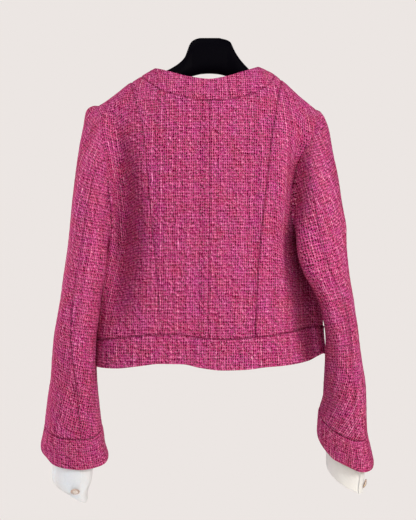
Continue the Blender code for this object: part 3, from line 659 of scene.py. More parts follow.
def cloth_wall(name, points, normals, turned, wall, edges, weave=None, lift=0.0, nap=NAP_RELIEF):
    """A closed wall of cloth; its edges are kinds of seam along west, east, south and north."""
    width, length = along(points, 1), along(points, 0)
    distances = (width, width[:, -1:] - width, length, length[-1:, :] - length)
    outer = np.full(width.shape, lift)
    inner = np.full(width.shape, lift - wall)
    # Painted seam shade: how much each point's colour is darkened beside a seam.
    pressed_seam_shade = np.zeros(width.shape)
    for kind, distance in zip(edges, distances):
        down, up = edge_profile(kind, distance, wall)
        outer -= down
        inner += up
        if kind in SEAM_ROLL:
            near_seam = np.exp(-(distance / SEAM_SHADE_REACH) ** 2)
            pressed_seam_shade = np.maximum(pressed_seam_shade, SEAM_ROLL[kind][2] * near_seam)
    calm = np.clip(np.minimum.reduce(distances) / NAP_CALM, 0.0, 1.0)
    outer += nap * uneven(points) * calm
    skins = [points + normals * outer[..., None], points + normals * inner[..., None]]
    spots = np.concatenate([skin.reshape(-1, 3) for skin in skins]) * MM
    faces = wall_faces(*width.shape)
    if turned:
        faces = faces[:, ::-1]
    mesh = bpy.data.meshes.new(name + "_cloth")
    mesh.from_pydata(spots, [], faces.tolist())
    laid_flat = (weave_of(points) if weave is None else weave).reshape(-1, 2) * MM
    laid_flat = np.concatenate([laid_flat, laid_flat])
    corners = np.empty(len(mesh.loops), dtype=np.int32)
    mesh.loops.foreach_get("vertex_index", corners)
    layer = mesh.uv_layers.new(name="cloth")
    layer.uv.foreach_set("vector", laid_flat[corners].ravel())
    # The painted seam shade goes to the material as a point attribute.
    mark = mesh.attributes.new("pressed_seam_shade", "FLOAT", "POINT")
    mark.data.foreach_set("value", np.tile(pressed_seam_shade.ravel(), 2))
    mesh.shade_smooth()
    mesh.update()
    cloth_facts[name] = (float(width.max()) * MM, float(length.max()) * MM,
                         cut_area(points) * MM * MM)
    return add_object(name + "_cloth", mesh)


print("cloth step, mm:", CLOTH_STEP)


# %% [markdown]
# ## Back and front panels
# The back is cut in four: two centre panels joined down the centre back, and two side
# panels joined to them by the princess seams, of which the right one is drawn tighter.
# The fronts are one piece a side.  The two centre panels match at their seam, and every
# other panel's weave starts at its own place, as it does when pieces are cut from a length.

# %% Panels
FLANK_LENGTH = 128.0            # mm along the cloth from the princess seam to the side edge
TORSO_LENGTH = 400.0            # mm from the hem seam to the shoulder
FRONT_COARSER = 1.4             # the plain fronts need fewer lines
PLAIN_LINES = 6                 # lines between the neck point and the princess seam
TOP_CROWDING = 1.35             # rows lie closer where the shoulder rounds over


def line_set(side, step):
    """Lines of one half of a face, and where the princess seam is among them."""
    reach = abs(NECK_POINT[side])
    first = edged(reach, step) * neck_part(side)
    rest = lerp(neck_part(side), 1.0, np.linspace(0.0, 1.0, PLAIN_LINES)[1:])
    centre = np.concatenate([first, rest])
    flank = edged(FLANK_LENGTH, step)
    part = np.concatenate([centre, flank[1:]])
    beyond = np.concatenate([np.zeros(len(centre), bool), np.ones(len(flank) - 1, bool)])
    return beyond, part, len(centre) - 1, len(first) - 1


def body_rows(low, high, length, step, round_top=False):
    """Heights of every row on every line."""
    share = edged(length, step)
    if round_top:
        share = 1.0 - (1.0 - share) ** TOP_CROWDING
    return lerp(low, high, share[:, None])


# mm along the length of cloth at which each panel is cut
WEAVE_STARTS = {
    ("back_centre", LEFT): 4.0, ("back_centre", RIGHT): 4.0, ("back_side", LEFT): 361.0,
    ("back_side", RIGHT): 517.0, ("front", LEFT): 841.0, ("front", RIGHT): 857.0,
}
lines = {}
for side, word in SIDES:
    for face in (BACK, FRONT):
        step = CLOTH_STEP if face == BACK else FRONT_COARSER * CLOTH_STEP
        flank, part, princess, neck = line_set(side, step)
        borders = body_borders(face, side, flank, part)
        lines[face, side] = (flank, part, princess, neck, borders)
        height = body_rows(borders[1], borders[2], TORSO_LENGTH, step, round_top=True)
        grid = body_surface(face, side, flank, part, height)
        normals, turned = grid_normals(grid, np.array([0.0, face, 0.0]))
        if face == BACK:
            line = DRAWN if side == RIGHT else SHAPED
            cuts = (("back_centre", slice(0, princess + 1), (PRESSED, line, SEWN, NECKLINE)),
                    ("back_side", slice(princess, None), (line, EASED, SEWN, PRESSED)))
        else:
            cuts = (("front", slice(0, None), (TURNED, EASED, SEWN, SEWN)),)
        weave = weave_of(grid) * np.array([side, 1.0])
        for label, span, edges in cuts:
            name = f"{label}_{word}"
            start = np.array([WEAVE_STARTS[label, side], 0.0])
            pieces[name] = cloth_wall(name, grid[:, span], normals[:, span], turned, TWEED_WALL,
                                      edges, weave=weave[:, span] + start)
        print(word, "back" if face == BACK else "front", grid.shape)


# %% [markdown]
# ## Hem band and neckband
# The hem is finished with a straight strip of doubled tweed, seamed at the sides, and the
# neck with a strip shaped to it.  Doubled cloth is a little thicker than the panels, so both
# bands stand very slightly proud of the seam they are sewn to.

# %% Bands
HEM_BAND_LENGTH = 50.0
NECKBAND_LENGTH = 34.0
BODY_MIDDLE = np.array([0.0, 0.0, -140.0])      # seen from here, all of the neckband faces out
BAND_LIFT = 0.4
BACK_BAND_START, FRONT_BAND_START, FRONT_BAND_APART, NECKBAND_START = 1205.0, 1631.0, 300.0, 2208.0


def hem_strip(face, side):
    """Surface of the band under one half of a face, hem edge first."""
    flank, part, _, _, borders = lines[face, side]
    height = body_rows(borders[0], borders[1], HEM_BAND_LENGTH, CLOTH_STEP)
    return body_surface(face, side, flank, part, height)


def add_band(name, grid, outside, edges, start, column=0):
    """A strip of doubled cloth on a grid."""
    normals, turned = grid_normals(grid, outside)
    pieces[name] = cloth_wall(name, grid, normals, turned, BAND_WALL, edges, lift=BAND_LIFT,
                              weave=weave_of(grid, start, column))


left_strip = hem_strip(BACK, LEFT)
right_strip = hem_strip(BACK, RIGHT)
add_band("hem_band_back", np.concatenate([left_strip[:, ::-1], right_strip[:, 1:]], axis=1),
         np.array([0.0, -1.0, 0.0]), (SEWN, SEWN, TURNED, SEWN), BACK_BAND_START)
for side, word in SIDES:
    add_band("hem_band_front_" + word, hem_strip(FRONT, side), np.array([0.0, 1.0, 0.0]),
             (TURNED, SEWN, TURNED, SEWN), FRONT_BAND_START + FRONT_BAND_APART * side)


def neck_lines(face, side):
    """Neckband surface of one half of a face, neck seam first, from the centre outward."""
    flank, part, _, neck, borders = lines[face, side]
    part, top = part[:neck + 1], borders[2][:neck + 1]
    base = across_body(face, side, flank[:neck + 1], part, top)[0]
    reach = base / NECK_POINT[side] * NECK_CORNER[side]
    rim = smooth(NECK_EDGE[face], reach)
    share = edged(NECKBAND_LENGTH, CLOTH_STEP)[:, None]
    across, height = lerp(base, reach, share), lerp(top, rim, share)
    full = full_depth(across, height)
    middle = centre_x(face, height)
    way = np.clip(np.abs(across - middle) / np.abs(edge_x(side, height) - middle), 0.0, 1.0)
    depth = full * (1.0 - way ** SQUARENESS) ** (1.0 / SQUARENESS)
    if face == FRONT:
        across = across + side * OPENING_TOP * np.clip(1.0 - part / OPENING_SHARE, 0.0, 1.0)
    return np.stack([across, face * depth, height], axis=-1)


neck_grid = np.concatenate([
    neck_lines(FRONT, LEFT), neck_lines(BACK, LEFT)[:, -2::-1],
    neck_lines(BACK, RIGHT)[:, 1:], neck_lines(FRONT, RIGHT)[:, -2::-1]], axis=1)
neck_seam = neck_grid[0]
centre_back = int(np.argmin(np.where(neck_seam[:, 1] > 0.0, np.inf, np.abs(neck_seam[:, 0]))))
add_band("neckband", neck_grid, neck_grid - BODY_MIDDLE, (TURNED, TURNED, NECKLINE, TURNED),
         NECKBAND_START, centre_back)
print("neckband, m along its seam:", round(cloth_facts["neckband"][0], 3))


# %% [markdown]
# ## Sleeves
# Each sleeve starts at the armhole's edge, leaves it sideways, turns over the shoulder and
# settles into a hanging tube that leans forward to the wrist.  The turn is a smooth curve
# between the armhole and the first cross-section of the tube; below that the tube is a
# stack of ellipses.  It is cut in two: an upper piece outside and an under piece against
# the body, with one seam down the back of the elbow and one hidden at the front.

# %% Sleeve measurements
# height, across, forward, half width, half depth, lean, tip, turn (degrees)
SLEEVE = {
    LEFT: (
        (-410.0, -211.0, -30.0, 32.5, 49.0, 0.0, 0.0, 12.0),
        (-440.0, -215.5, -32.0, 33.0, 48.0, 1.0, 0.0, 14.0),
        (-470.0, -219.5, -30.0, 34.5, 46.0, 3.0, 1.0, 12.0),
        (-505.0, -225.5, -24.0, 35.5, 45.0, 8.0, 1.0, 5.0),
        (-540.0, -228.5, -13.0, 37.0, 44.0, 13.0, 2.0, -2.0),
        (-575.0, -230.5, 0.0, 39.0, 44.0, 18.0, 3.0, -8.0),
        (-612.0, -233.5, 16.0, 43.5, 44.0, 22.0, 4.0, -14.0),
        (-664.0, -236.0, 40.0, 50.0, 44.0, 27.0, 5.0, -17.0),
        (-689.0, -236.0, 51.0, 54.5, 44.0, 31.0, 6.0, -17.0),
        (-714.0, -235.0, 63.0, 59.0, 44.0, 35.0, 6.5, -17.0),
    ),
    RIGHT: (
        (-410.0, 201.0, -30.0, 33.5, 49.0, 0.0, 0.0, 4.0),
        (-440.0, 209.5, -32.0, 29.5, 48.0, 1.0, 1.0, 14.0),
        (-470.0, 215.5, -30.0, 26.5, 47.0, 3.0, 2.0, 20.0),
        (-505.0, 221.0, -24.0, 26.5, 46.0, 9.0, 4.0, 22.0),
        (-540.0, 224.5, -12.0, 29.5, 45.0, 14.0, 7.0, 22.0),
        (-575.0, 227.5, 2.0, 34.0, 45.0, 19.0, 11.0, 21.0),
        (-612.0, 229.5, 18.0, 38.5, 45.0, 24.0, 17.0, 20.0),
        (-658.0, 231.5, 43.0, 46.0, 45.0, 30.0, 23.0, 19.0),
        (-682.0, 235.0, 55.0, 50.5, 45.5, 34.0, 25.0, 19.0),
        (-706.0, 238.5, 68.0, 55.0, 46.0, 38.0, 26.0, 19.0),
    ),
}
ARMHOLE_STEPS = (1.0, 0.92, 0.82, 0.68, 0.54, 0.41, 0.29, 0.185, 0.095, 0.03, 0.0)
AROUND = 20                     # marks round the armhole, ten up the back, ten down the front
ELBOW_SEAM, FRONT_SEAM = 5, 16
UNDER_MARKS = 10.0              # marks from under the arm to the top of the shoulder
CUFF_SEAM_ROW, CUFF_EDGE_ROW = 7, 9
CAP_RISE_UNDER = 26.0           # how strongly the cap leaves the armhole, under the arm
CAP_RISE_TOP = {LEFT: 145.0, RIGHT: 100.0}      # and over the shoulder
CAP_FLARE, CAP_LIFT = 0.42, 0.18        # how far it leaves backward, and upward under the arm
SLEEVE_ROUNDING = 0.88
SEAM_GAP = -0.5                 # the armhole is a closed seam


def armhole_point(side, mark):
    """Edge of the armhole at marks from under the arm, up the back and down the front."""
    mark = np.mod(mark, AROUND)
    rows = tuple(enumerate(ARMHOLE_STEPS))
    step = smooth(rows, np.where(mark <= UNDER_MARKS, mark, AROUND - mark))
    result = np.empty(mark.shape + (3,))
    for face in (BACK, FRONT):
        edge = np.array([True]), np.array([1.0])
        borders = body_borders(face, side, *edge)
        height = lerp(borders[1][0], borders[2][0], 1.0 - (1.0 - UNDERARM_AT) * step)
        points = body_form(face, side, True, 1.0, height)
        pick = (mark <= UNDER_MARKS) if face == BACK else (mark > UNDER_MARKS)
        result[pick] = points[pick]
    return result


def rounded(value, power):
    """Turns the circle of a sine and cosine into a squarer round; power 1 leaves it."""
    return np.sign(value) * np.abs(value) ** power


def section_point(section, side, angle):
    """A point of a sleeve's cross-section; the angle runs from the body round the back."""
    height, across, forward, half_width, half_depth, lean, tip = section[:7]
    lean, tip = np.radians(lean), np.radians(tip)
    x = -side * half_width * rounded(np.cos(angle), SLEEVE_ROUNDING)
    y = -half_depth * rounded(np.sin(angle), SLEEVE_ROUNDING)
    return np.stack(np.broadcast_arrays(
        across + x * np.cos(tip), forward + y * np.cos(lean),
        height - x * np.sin(tip) + y * np.sin(lean)), axis=-1)


def section_at(table, place):
    """The measurements of a cross-section anywhere between the table's rows."""
    return [smooth(tuple((row, values[column]) for row, values in enumerate(table)), place)
            for column in range(len(table[0]))]


def sleeve_surface(side, mark, share, place):
    """Rows of the cap (share 0 to 1 from the armhole), then rows of the hanging tube."""
    table = SLEEVE[side]
    around = math.tau * mark / AROUND
    start = armhole_point(side, mark) + np.array([side * SEAM_GAP, 0.0, 0.0])
    end = section_point(table[0], side, around + math.radians(table[0][7]))
    after = section_point(table[1], side, around + math.radians(table[1][7]))
    top = (1.0 - np.cos(around)) / 2.0
    reach = lerp(CAP_RISE_UNDER, CAP_RISE_TOP[side], top)
    away = np.stack([np.full_like(around, side), -CAP_FLARE * np.sin(around),
                     CAP_LIFT * (1.0 - top)], axis=-1)
    away *= (reach / np.linalg.norm(away, axis=1))[:, None]
    down = after - end
    down *= (np.linalg.norm(end - start, axis=1) / np.linalg.norm(down, axis=1))[:, None]
    t = share[:, None, None]
    cap = (start * (2 * t ** 3 - 3 * t ** 2 + 1) + away * (t ** 3 - 2 * t ** 2 + t)
           + end * (3 * t ** 2 - 2 * t ** 3) + down * (t ** 3 - t ** 2))
    section = [value[:, None] for value in section_at(table, place)]
    tube = section_point(section, side, around[None, :] + np.radians(section[7]))
    return pulled(np.concatenate([cap, tube], axis=0))


print("sleeve rows to the cuff seam and edge:", CUFF_SEAM_ROW, CUFF_EDGE_ROW)


# %% [markdown]
# ## Creases of the sleeves
# An empty sleeve that leans forward buckles at the inside of the elbow and where it meets
# the body.  Each row of the first table is one crease, given by its height and its place
# round the sleeve in degrees from the body side round the back; the depth is how far it
# sinks.

# %% Sleeve creases
SLEEVE_GIRTH = 255.0            # mm round the sleeve where it is creased
# side, height at start, height at end, angle at start, angle at end, half width mm, depth mm
SLEEVE_FOLDS = (
    (LEFT, -215.0, -395.0, 62.0, 40.0, 13.0, 5.0),
    (LEFT, -300.0, -470.0, 118.0, 150.0, 18.0, 3.0),
    (LEFT, -380.0, -560.0, 55.0, 88.0, 15.0, 4.0),
    (LEFT, -520.0, -640.0, 120.0, 95.0, 18.0, 3.0),
    (LEFT, -400.0, -520.0, 200.0, 250.0, 16.0, 3.5),
    (LEFT, -470.0, -600.0, 290.0, 255.0, 18.0, 4.0),
    (RIGHT, -215.0, -395.0, 62.0, 40.0, 13.0, 1.5),
    (RIGHT, -300.0, -470.0, 118.0, 150.0, 18.0, 3.0),
    (RIGHT, -380.0, -560.0, 55.0, 88.0, 15.0, 2.5),
    (RIGHT, -400.0, -520.0, 200.0, 250.0, 16.0, 3.5),
    (RIGHT, -470.0, -600.0, 290.0, 255.0, 18.0, 4.0),
)


def crease_sleeve(side, grid, around):
    """Press the creases of one sleeve into its grid."""
    normals, _ = grid_normals(grid, grid - grid.mean(axis=1, keepdims=True), ring=True)
    angle = np.degrees(around)[None, :]
    height = grid[..., 2]
    push = np.zeros(height.shape)
    for where, high, low, start, end, half_width, depth in SLEEVE_FOLDS:
        if where == side:
            way = np.clip((high - height) / (high - low), 0.0, 1.0)
            away = (angle - lerp(start, end, way) + 180.0) % 360.0 - 180.0
            arc = away / 360.0 * SLEEVE_GIRTH / half_width
            push += depth * np.sin(math.pi * way) ** 1.5 * np.exp(-arc * arc)
    return grid - normals * push[..., None]


print("creases of the sleeves:", len(SLEEVE_FOLDS))


# %% [markdown]
# ## Grain of the sleeves
# The cloth of a sleeve twists as it hangs, so its weave can't simply follow the level of
# the floor.  The table gives the slope of the picks at each height, and the weave is laid
# along that slope, round the sleeve from its elbow seam.

# %% Sleeve grain
# height, degrees that the picks rise outward
SLEEVE_GRAIN = {
    LEFT: ((-700.0, 18.0), (-600.0, 17.0), (-530.0, 11.0), (-394.0, 8.0), (-326.0, 10.0),
           (-258.0, 16.0), (-190.0, 26.0), (-120.0, 28.0)),
    RIGHT: ((-700.0, -26.0), (-660.0, -24.0), (-598.0, -12.0), (-530.0, 5.0), (-462.0, 12.0),
            (-394.0, 11.0), (-326.0, 16.0), (-258.0, 21.0), (-190.0, 18.0), (-120.0, 18.0)),
}
SLEEVE_SLANT = 6.0              # degrees that the sleeve itself hangs outward
CAP_INWARD, CAP_FORWARD = 0.125, 0.08   # how the cap's middle runs in and forward as it rises
GRAIN_STEP = 2.0                # mm
GRAIN_LEVELS = np.arange(-760.0, -40.0, GRAIN_STEP)
CAP_EASE = 6                    # how narrowly the cap's extra length is kept to its top
SLEEVE_START, SLEEVES_APART = 3007.5, 510.0


def sleeve_weave(side, points, top):
    """Weave coordinates of a sleeve, mm, with its picks on the slopes of the table."""
    height = points[..., 2]
    table = SLEEVE[side]
    middle, forward, half_width, half_depth = [
        smooth(tuple((row[0], row[column]) for row in reversed(table)), height)
        for column in (1, 2, 3, 4)]
    above = np.maximum(height - table[0][0], 0.0)
    middle = middle - side * CAP_INWARD * above
    forward = forward + CAP_FORWARD * above
    angle = np.arctan2((forward - points[..., 1]) / half_depth,
                       side * (middle - points[..., 0]) / half_width)
    elbow_at = math.tau * ELBOW_SEAM / AROUND
    angle = (angle - elbow_at + math.pi) % math.tau - math.pi
    rise = np.radians(smooth(SLEEVE_GRAIN[side], GRAIN_LEVELS))
    skew = np.cumsum(np.tan(rise - math.radians(SLEEVE_SLANT))) * GRAIN_STEP
    fall = np.cumsum(np.cos(rise)) * GRAIN_STEP
    around = side * (0.5 * (half_width + half_depth) * angle
                     + np.interp(height, GRAIN_LEVELS, skew))
    extra = along(points, 0) - (points[0, :, 2] - height)
    tilt = np.sin(np.interp(height, GRAIN_LEVELS, rise))
    down = (np.interp(height, GRAIN_LEVELS, fall) - side * (points[..., 0] - middle) * tilt
            - extra * top ** CAP_EASE)
    return np.stack([around + SLEEVE_START + SLEEVES_APART * side, down], axis=-1)


print("slope of the left sleeve's picks at the elbow, degrees:", smooth(SLEEVE_GRAIN[LEFT], -400.0))


# %% [markdown]
# ## Sewing the sleeves
# Each sleeve's surface is worked out as one ring of lines and then cut at its two seams
# into an upper and an under piece.  The flared band at the bottom is one doubled strip, cut
# to the same ring, with its join at the hidden front seam.

# %% Sleeve pieces
SLEEVE_COLUMNS, CAP_ROWS, TUBE_ROWS = 108, 92, 103
CUFF_BAND_LENGTH = 52.0
CUFF_BAND_START, CUFF_BANDS_APART = 4100.0, 400.0
# Extra lines beside the seams, where the cloth rolls: along the cap, round and along the tube
NEAR_ARMHOLE = (0.0, 0.003, 0.006, 0.010, 0.016)
NEAR_SEAM = np.array([0.03, 0.07, 0.12, 0.18])
NEAR_CUFF = np.array([0.055, 0.035, 0.02, 0.01, 0.0])


def sleeve_marks():
    """Marks round the sleeve, closer together beside its two seams."""
    seams = (ELBOW_SEAM, FRONT_SEAM)
    extra = [seam + sign * NEAR_SEAM for seam in seams for sign in (-1, 1)]
    even = np.arange(SLEEVE_COLUMNS) * AROUND / SLEEVE_COLUMNS
    return np.unique(np.round(np.concatenate([even, *extra, seams]), 4))


cap_shares = np.concatenate([NEAR_ARMHOLE, np.linspace(0.024, 1.0, CAP_ROWS)])
places = np.concatenate([np.linspace(0.0, CUFF_SEAM_ROW, TUBE_ROWS)[1:-1],
                         CUFF_SEAM_ROW - NEAR_CUFF])
band_places = lerp(CUFF_SEAM_ROW, CUFF_EDGE_ROW, edged(CUFF_BAND_LENGTH, CLOTH_STEP))
marks = sleeve_marks()
for side, word in SIDES:
    grid = sleeve_surface(side, marks, cap_shares, np.concatenate([places, band_places]))
    grid = crease_sleeve(side, grid, math.tau * marks / AROUND)
    normals, turned = grid_normals(grid, grid - grid.mean(axis=1, keepdims=True), ring=True)
    seam_row = len(cap_shares) + len(places)
    elbow = int(np.argmin(np.abs(marks - ELBOW_SEAM)))
    front = int(np.argmin(np.abs(marks - FRONT_SEAM)))
    top_share = (1.0 - np.cos(math.tau * marks / AROUND)) / 2.0
    columns = np.arange(len(marks))
    upper = columns[elbow:front + 1]
    under = np.concatenate([columns[front:], columns[:elbow + 1]])
    ring = np.concatenate([columns[front:], columns[:front + 1]])
    for label, picks in (("sleeve_upper_", upper), ("sleeve_under_", under)):
        part = grid[:seam_row, picks]
        pieces[label + word] = cloth_wall(
            label + word, part, normals[:seam_row, picks], turned, TWEED_WALL,
            (SHAPED, SHAPED, EASED, SEWN), weave=sleeve_weave(side, part, top_share[picks]))
    band = grid[seam_row:, ring]
    pieces["cuff_band_" + word] = cloth_wall(
        "cuff_band_" + word, band, normals[seam_row:, ring], turned, BAND_WALL,
        (PRESSED, PRESSED, SEWN, TURNED), lift=BAND_LIFT,
        weave=weave_of(band, CUFF_BAND_START + CUFF_BANDS_APART * side, fan=True))
    print(word, "sleeve grid", grid.shape)


# %% [markdown]
# ## Inner cuffs of white poplin
# A shirt cuff of fused poplin is sewn inside each sleeve hem and shows below it.  It is one
# strip wound once round the wrist with its end lapped on top, so it is built as that strip:
# ellipses like the sleeve's, with the lapped end lifted by its own thickness.

# %% Poplin cuffs
POPLIN_WALL = 1.2
# height, across, forward, half width, half depth, lean, tip
SHIRT_CUFF = {
    LEFT: (
        (-667.0, -236.0, 41.0, 44.5, 39.0, 27.0, 5.0),
        (-695.0, -240.0, 53.0, 39.5, 31.0, 27.0, 11.0),
        (-722.0, -241.0, 62.0, 39.0, 30.0, 27.0, 18.0),
        (-748.0, -241.0, 70.0, 38.0, 30.0, 28.0, 26.0),
        (-774.0, -240.0, 76.0, 35.5, 30.0, 28.0, 34.0),
    ),
    RIGHT: (
        (-661.0, 231.5, 45.0, 41.0, 39.0, 29.0, 23.0),
        (-690.0, 235.5, 58.0, 38.0, 31.0, 29.0, 24.0),
        (-715.0, 237.0, 68.0, 38.5, 30.0, 30.0, 27.0),
        (-738.0, 238.0, 76.0, 39.5, 30.0, 32.0, 31.0),
        (-760.0, 238.5, 82.0, 40.0, 30.0, 34.0, 35.0),
    ),
}
SHIRT_ROUND, SHIRT_DEPTH = 245.0, 112.0         # mm
SHIRT_STEP = 1.9
POPLIN_FINE = (0.3, 0.7, 1.2)   # lines beside a thin edge
SHIRT_LAP_EDGE = {LEFT: 62.0, RIGHT: 134.0}     # degrees from the body side round the back
SHIRT_LAP = 34.0                # degrees of overlap
SHIRT_LAP_RISE = 1.7            # mm, a little over the cloth's thickness
SHIRT_LAP_SLOPE = 0.12          # share of the strip over which the lap rises
cuff_grids = {}


def shirt_surface(side):
    """The strip wound round the wrist, from its under end to its lapped end."""
    span = math.tau + math.radians(SHIRT_LAP)
    first = math.radians(SHIRT_LAP_EDGE[side] + SHIRT_LAP)
    way = edged(SHIRT_ROUND, SHIRT_STEP, fine=POPLIN_FINE)
    rows = edged(SHIRT_DEPTH, CLOTH_STEP, fine=POPLIN_FINE) * (len(SHIRT_CUFF[side]) - 1.0)
    section = [value[:, None] for value in section_at(SHIRT_CUFF[side], rows)]
    lapped = (way - math.tau / span + SHIRT_LAP_SLOPE) / SHIRT_LAP_SLOPE
    rise = SHIRT_LAP_RISE * np.clip(lapped, 0.0, 1.0)[None, :]
    section[3] = section[3] + rise
    section[4] = section[4] + rise
    return pulled(section_point(section, side, first - span * way[None, :]))


for side, word in SIDES:
    grid = shirt_surface(side)
    normals, turned = grid_normals(grid, grid - grid.mean(axis=1, keepdims=True))
    cuff_grids[side] = (grid, normals)
    name = "shirt_cuff_" + word
    pieces[name] = cloth_wall(name, grid, normals, turned, POPLIN_WALL, (TURNED,) * 4, nap=0.0)
    print(name, [round(v, 3) for v in cloth_facts[name]])


# %% [markdown]
# ## Moulded hanger
# The hanger is one injection-moulded bar with a flat-topped head and wide shoulders.  Its
# cross-section is a rounded rectangle that changes along its length, so it is lofted
# through its sections, then closed at both ends.

# %% Hanger
# across, top, bottom, half depth
HANGER = (
    (-176.0, -122.0, -137.0, 9.0), (-172.0, -117.0, -141.0, 14.0), (-160.0, -106.0, -139.0, 17.0),
    (-135.0, -87.0, -124.0, 18.0), (-110.0, -71.5, -107.0, 17.0), (-90.0, -61.5, -93.0, 16.0),
    (-73.0, -55.6, -83.0, 15.0), (-62.0, -50.0, -77.0, 14.5), (-50.0, -41.5, -71.5, 14.0),
    (-42.0, -32.5, -69.0, 13.5), (-38.0, -22.5, -67.5, 13.0), (-34.0, -11.5, -66.5, 12.5),
    (-29.0, -5.0, -65.0, 12.0), (-22.0, -1.4, -63.0, 12.0), (-15.0, 0.0, -61.5, 12.0),
    (0.0, 0.0, -60.5, 12.0), (15.0, 0.0, -61.5, 12.0), (22.0, -1.4, -63.0, 12.0),
    (29.0, -3.2, -65.0, 12.0), (35.5, -7.0, -66.5, 12.5), (40.0, -16.0, -67.5, 13.0),
    (45.0, -26.0, -69.0, 13.5), (52.0, -36.5, -71.5, 14.0), (61.0, -47.0, -77.0, 14.5),
    (70.0, -55.5, -83.0, 15.0), (88.0, -62.5, -93.0, 16.0), (107.0, -73.0, -107.0, 17.0),
    (131.0, -90.0, -126.0, 18.0), (154.0, -110.0, -143.0, 17.0), (167.0, -122.0, -145.0, 14.0),
    (172.0, -128.0, -142.0, 9.0),
)
HANGER_ROUNDING = 2.0 / 2.6
HANGER_AROUND, HANGER_STATIONS = 56, 220


def lofted(name, rings):
    """A closed mesh through rings of equally many points, with flat ends."""
    count = len(rings[0])
    spots = np.concatenate(rings) * MM
    index = np.arange(len(rings) * count).reshape(len(rings), count)
    after = np.roll(index, -1, axis=1)
    quads = np.stack([index[:-1], after[:-1], after[1:], index[1:]], axis=-1).reshape(-1, 4)
    faces = quads.tolist() + [index[0, ::-1].tolist(), index[-1].tolist()]
    mesh = bpy.data.meshes.new(name)
    mesh.from_pydata(spots, [], faces)
    mesh.shade_smooth()
    return add_object(name, mesh)


def hanger_rings():
    """Cross-sections of the hanger from its left end to its right."""
    even = np.linspace(HANGER[0][0], HANGER[-1][0], HANGER_STATIONS)
    stations = np.unique(np.concatenate([even, [row[0] for row in HANGER]]))
    top, bottom, half_depth = [smooth(column_of(HANGER, c), stations) for c in (1, 2, 3)]
    angle = math.tau * (np.arange(HANGER_AROUND) + 0.5) / HANGER_AROUND
    y = rounded(np.cos(angle), HANGER_ROUNDING)
    z = rounded(np.sin(angle), HANGER_ROUNDING)
    return [np.stack([np.full_like(y, x), y * deep, lerp(low, high, (1.0 + z) / 2.0)], axis=-1)
            for x, high, low, deep in zip(stations, top, bottom, half_depth)]


pieces["hanger"] = lofted("moulded_hanger", hanger_rings())
print("hanger, mm:", [round(v / MM) for v in pieces["hanger"].dimensions])


# %% [markdown]
# ## Jewel buttons
# Each cuff closes with a jewel button: a gilt rim with a beaded edge round a cut stone.
# Both are turned from a profile, the rim in many smooth steps and the stone in ten flat
# ones.  Each sits on the cuff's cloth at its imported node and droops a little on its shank.

# %% Buttons
BUTTON_TILT = {LEFT: -0.85, RIGHT: -0.2}        # a button on its shank hangs downward
BUTTON_LIFT = {LEFT: 3.0, RIGHT: 0.6}           # mm off the cloth
BUTTON_SHIFT = {LEFT: (0.0, 0.0, 2.0), RIGHT: (-1.5, 0.0, 4.5)}
BEADS, BEAD_DEPTH = 12, 0.07
RIM_STEPS, STONE_FACETS = 96, 10
SHARP_EDGE = math.radians(50.0)
# radius, height
RIM_PROFILE = ((0.0, 0.3), (6.6, 0.3), (7.3, 0.7), (7.6, 1.4), (7.6, 2.3), (7.2, 2.9), (6.6, 3.2),
               (6.1, 3.1), (5.7, 2.7), (5.4, 2.1), (0.0, 2.0))
STONE_PROFILE = ((0.0, 2.05), (5.3, 2.1), (5.4, 2.9), (4.3, 4.1), (2.6, 4.8), (0.0, 5.0))


def lathed(name, profile, steps, beads=0):
    """A mesh turned round +Z from a profile; beads make its edge wavy, and smooth."""
    spots, rings, faces = [], [], []
    for radius, height in profile:
        count = 1 if radius == 0.0 else steps
        rings.append([len(spots) + i for i in range(count)])
        for i in range(count):
            angle = math.tau * i / steps
            bead = radius * (1.0 + (BEAD_DEPTH * math.cos(beads * angle) if beads else 0.0))
            spots.append((bead * math.cos(angle), bead * math.sin(angle), height))
    for low, high in zip(rings, rings[1:]):
        for i in range(steps):
            j = (i + 1) % steps
            if len(low) == 1:
                faces.append((low[0], high[j], high[i]))
            elif len(high) == 1:
                faces.append((low[i], low[j], high[0]))
            else:
                faces.append((low[i], low[j], high[j], high[i]))
    mesh = bpy.data.meshes.new(name)
    mesh.from_pydata(spots, [], faces)
    if beads:
        mesh.shade_smooth()
        mesh.set_sharp_from_angle(angle=SHARP_EDGE)
    return add_object(name, mesh)


def seated(made, seat, facing):
    """Put a turned piece on its seat, its axis along facing, in the mesh itself."""
    spin = Vector(facing).to_track_quat("Z", "Y").to_matrix().to_4x4()
    made.data.transform(Matrix.Translation(Vector(seat * MM)) @ spin @ Matrix.Scale(MM, 4))


for side, word in SIDES:
    low, high = (np.array(corner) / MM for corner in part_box("cuff_button_" + word))
    grid, normals = cuff_grids[side]
    wanted = (low + high) / 2.0 + np.array(BUTTON_SHIFT[side])
    nearest = np.argmin(np.linalg.norm(grid - wanted, axis=2))
    row, column = np.unravel_index(nearest, grid.shape[:2])
    seat = grid[row, column] + BUTTON_LIFT[side] * normals[row, column]
    facing = normals[row, column] + np.array([0.0, 0.0, BUTTON_TILT[side]])
    pieces["cuff_button_" + word] = lathed("cuff_rim_" + word, RIM_PROFILE, RIM_STEPS, BEADS)
    pieces["cuff_stone_" + word] = lathed("cuff_stone_" + word, STONE_PROFILE, STONE_FACETS)
    for kind in ("cuff_button_", "cuff_stone_"):
        seated(pieces[kind + word], seat, facing)
    print("button", word, np.round(seat, 1), np.round(facing, 2))
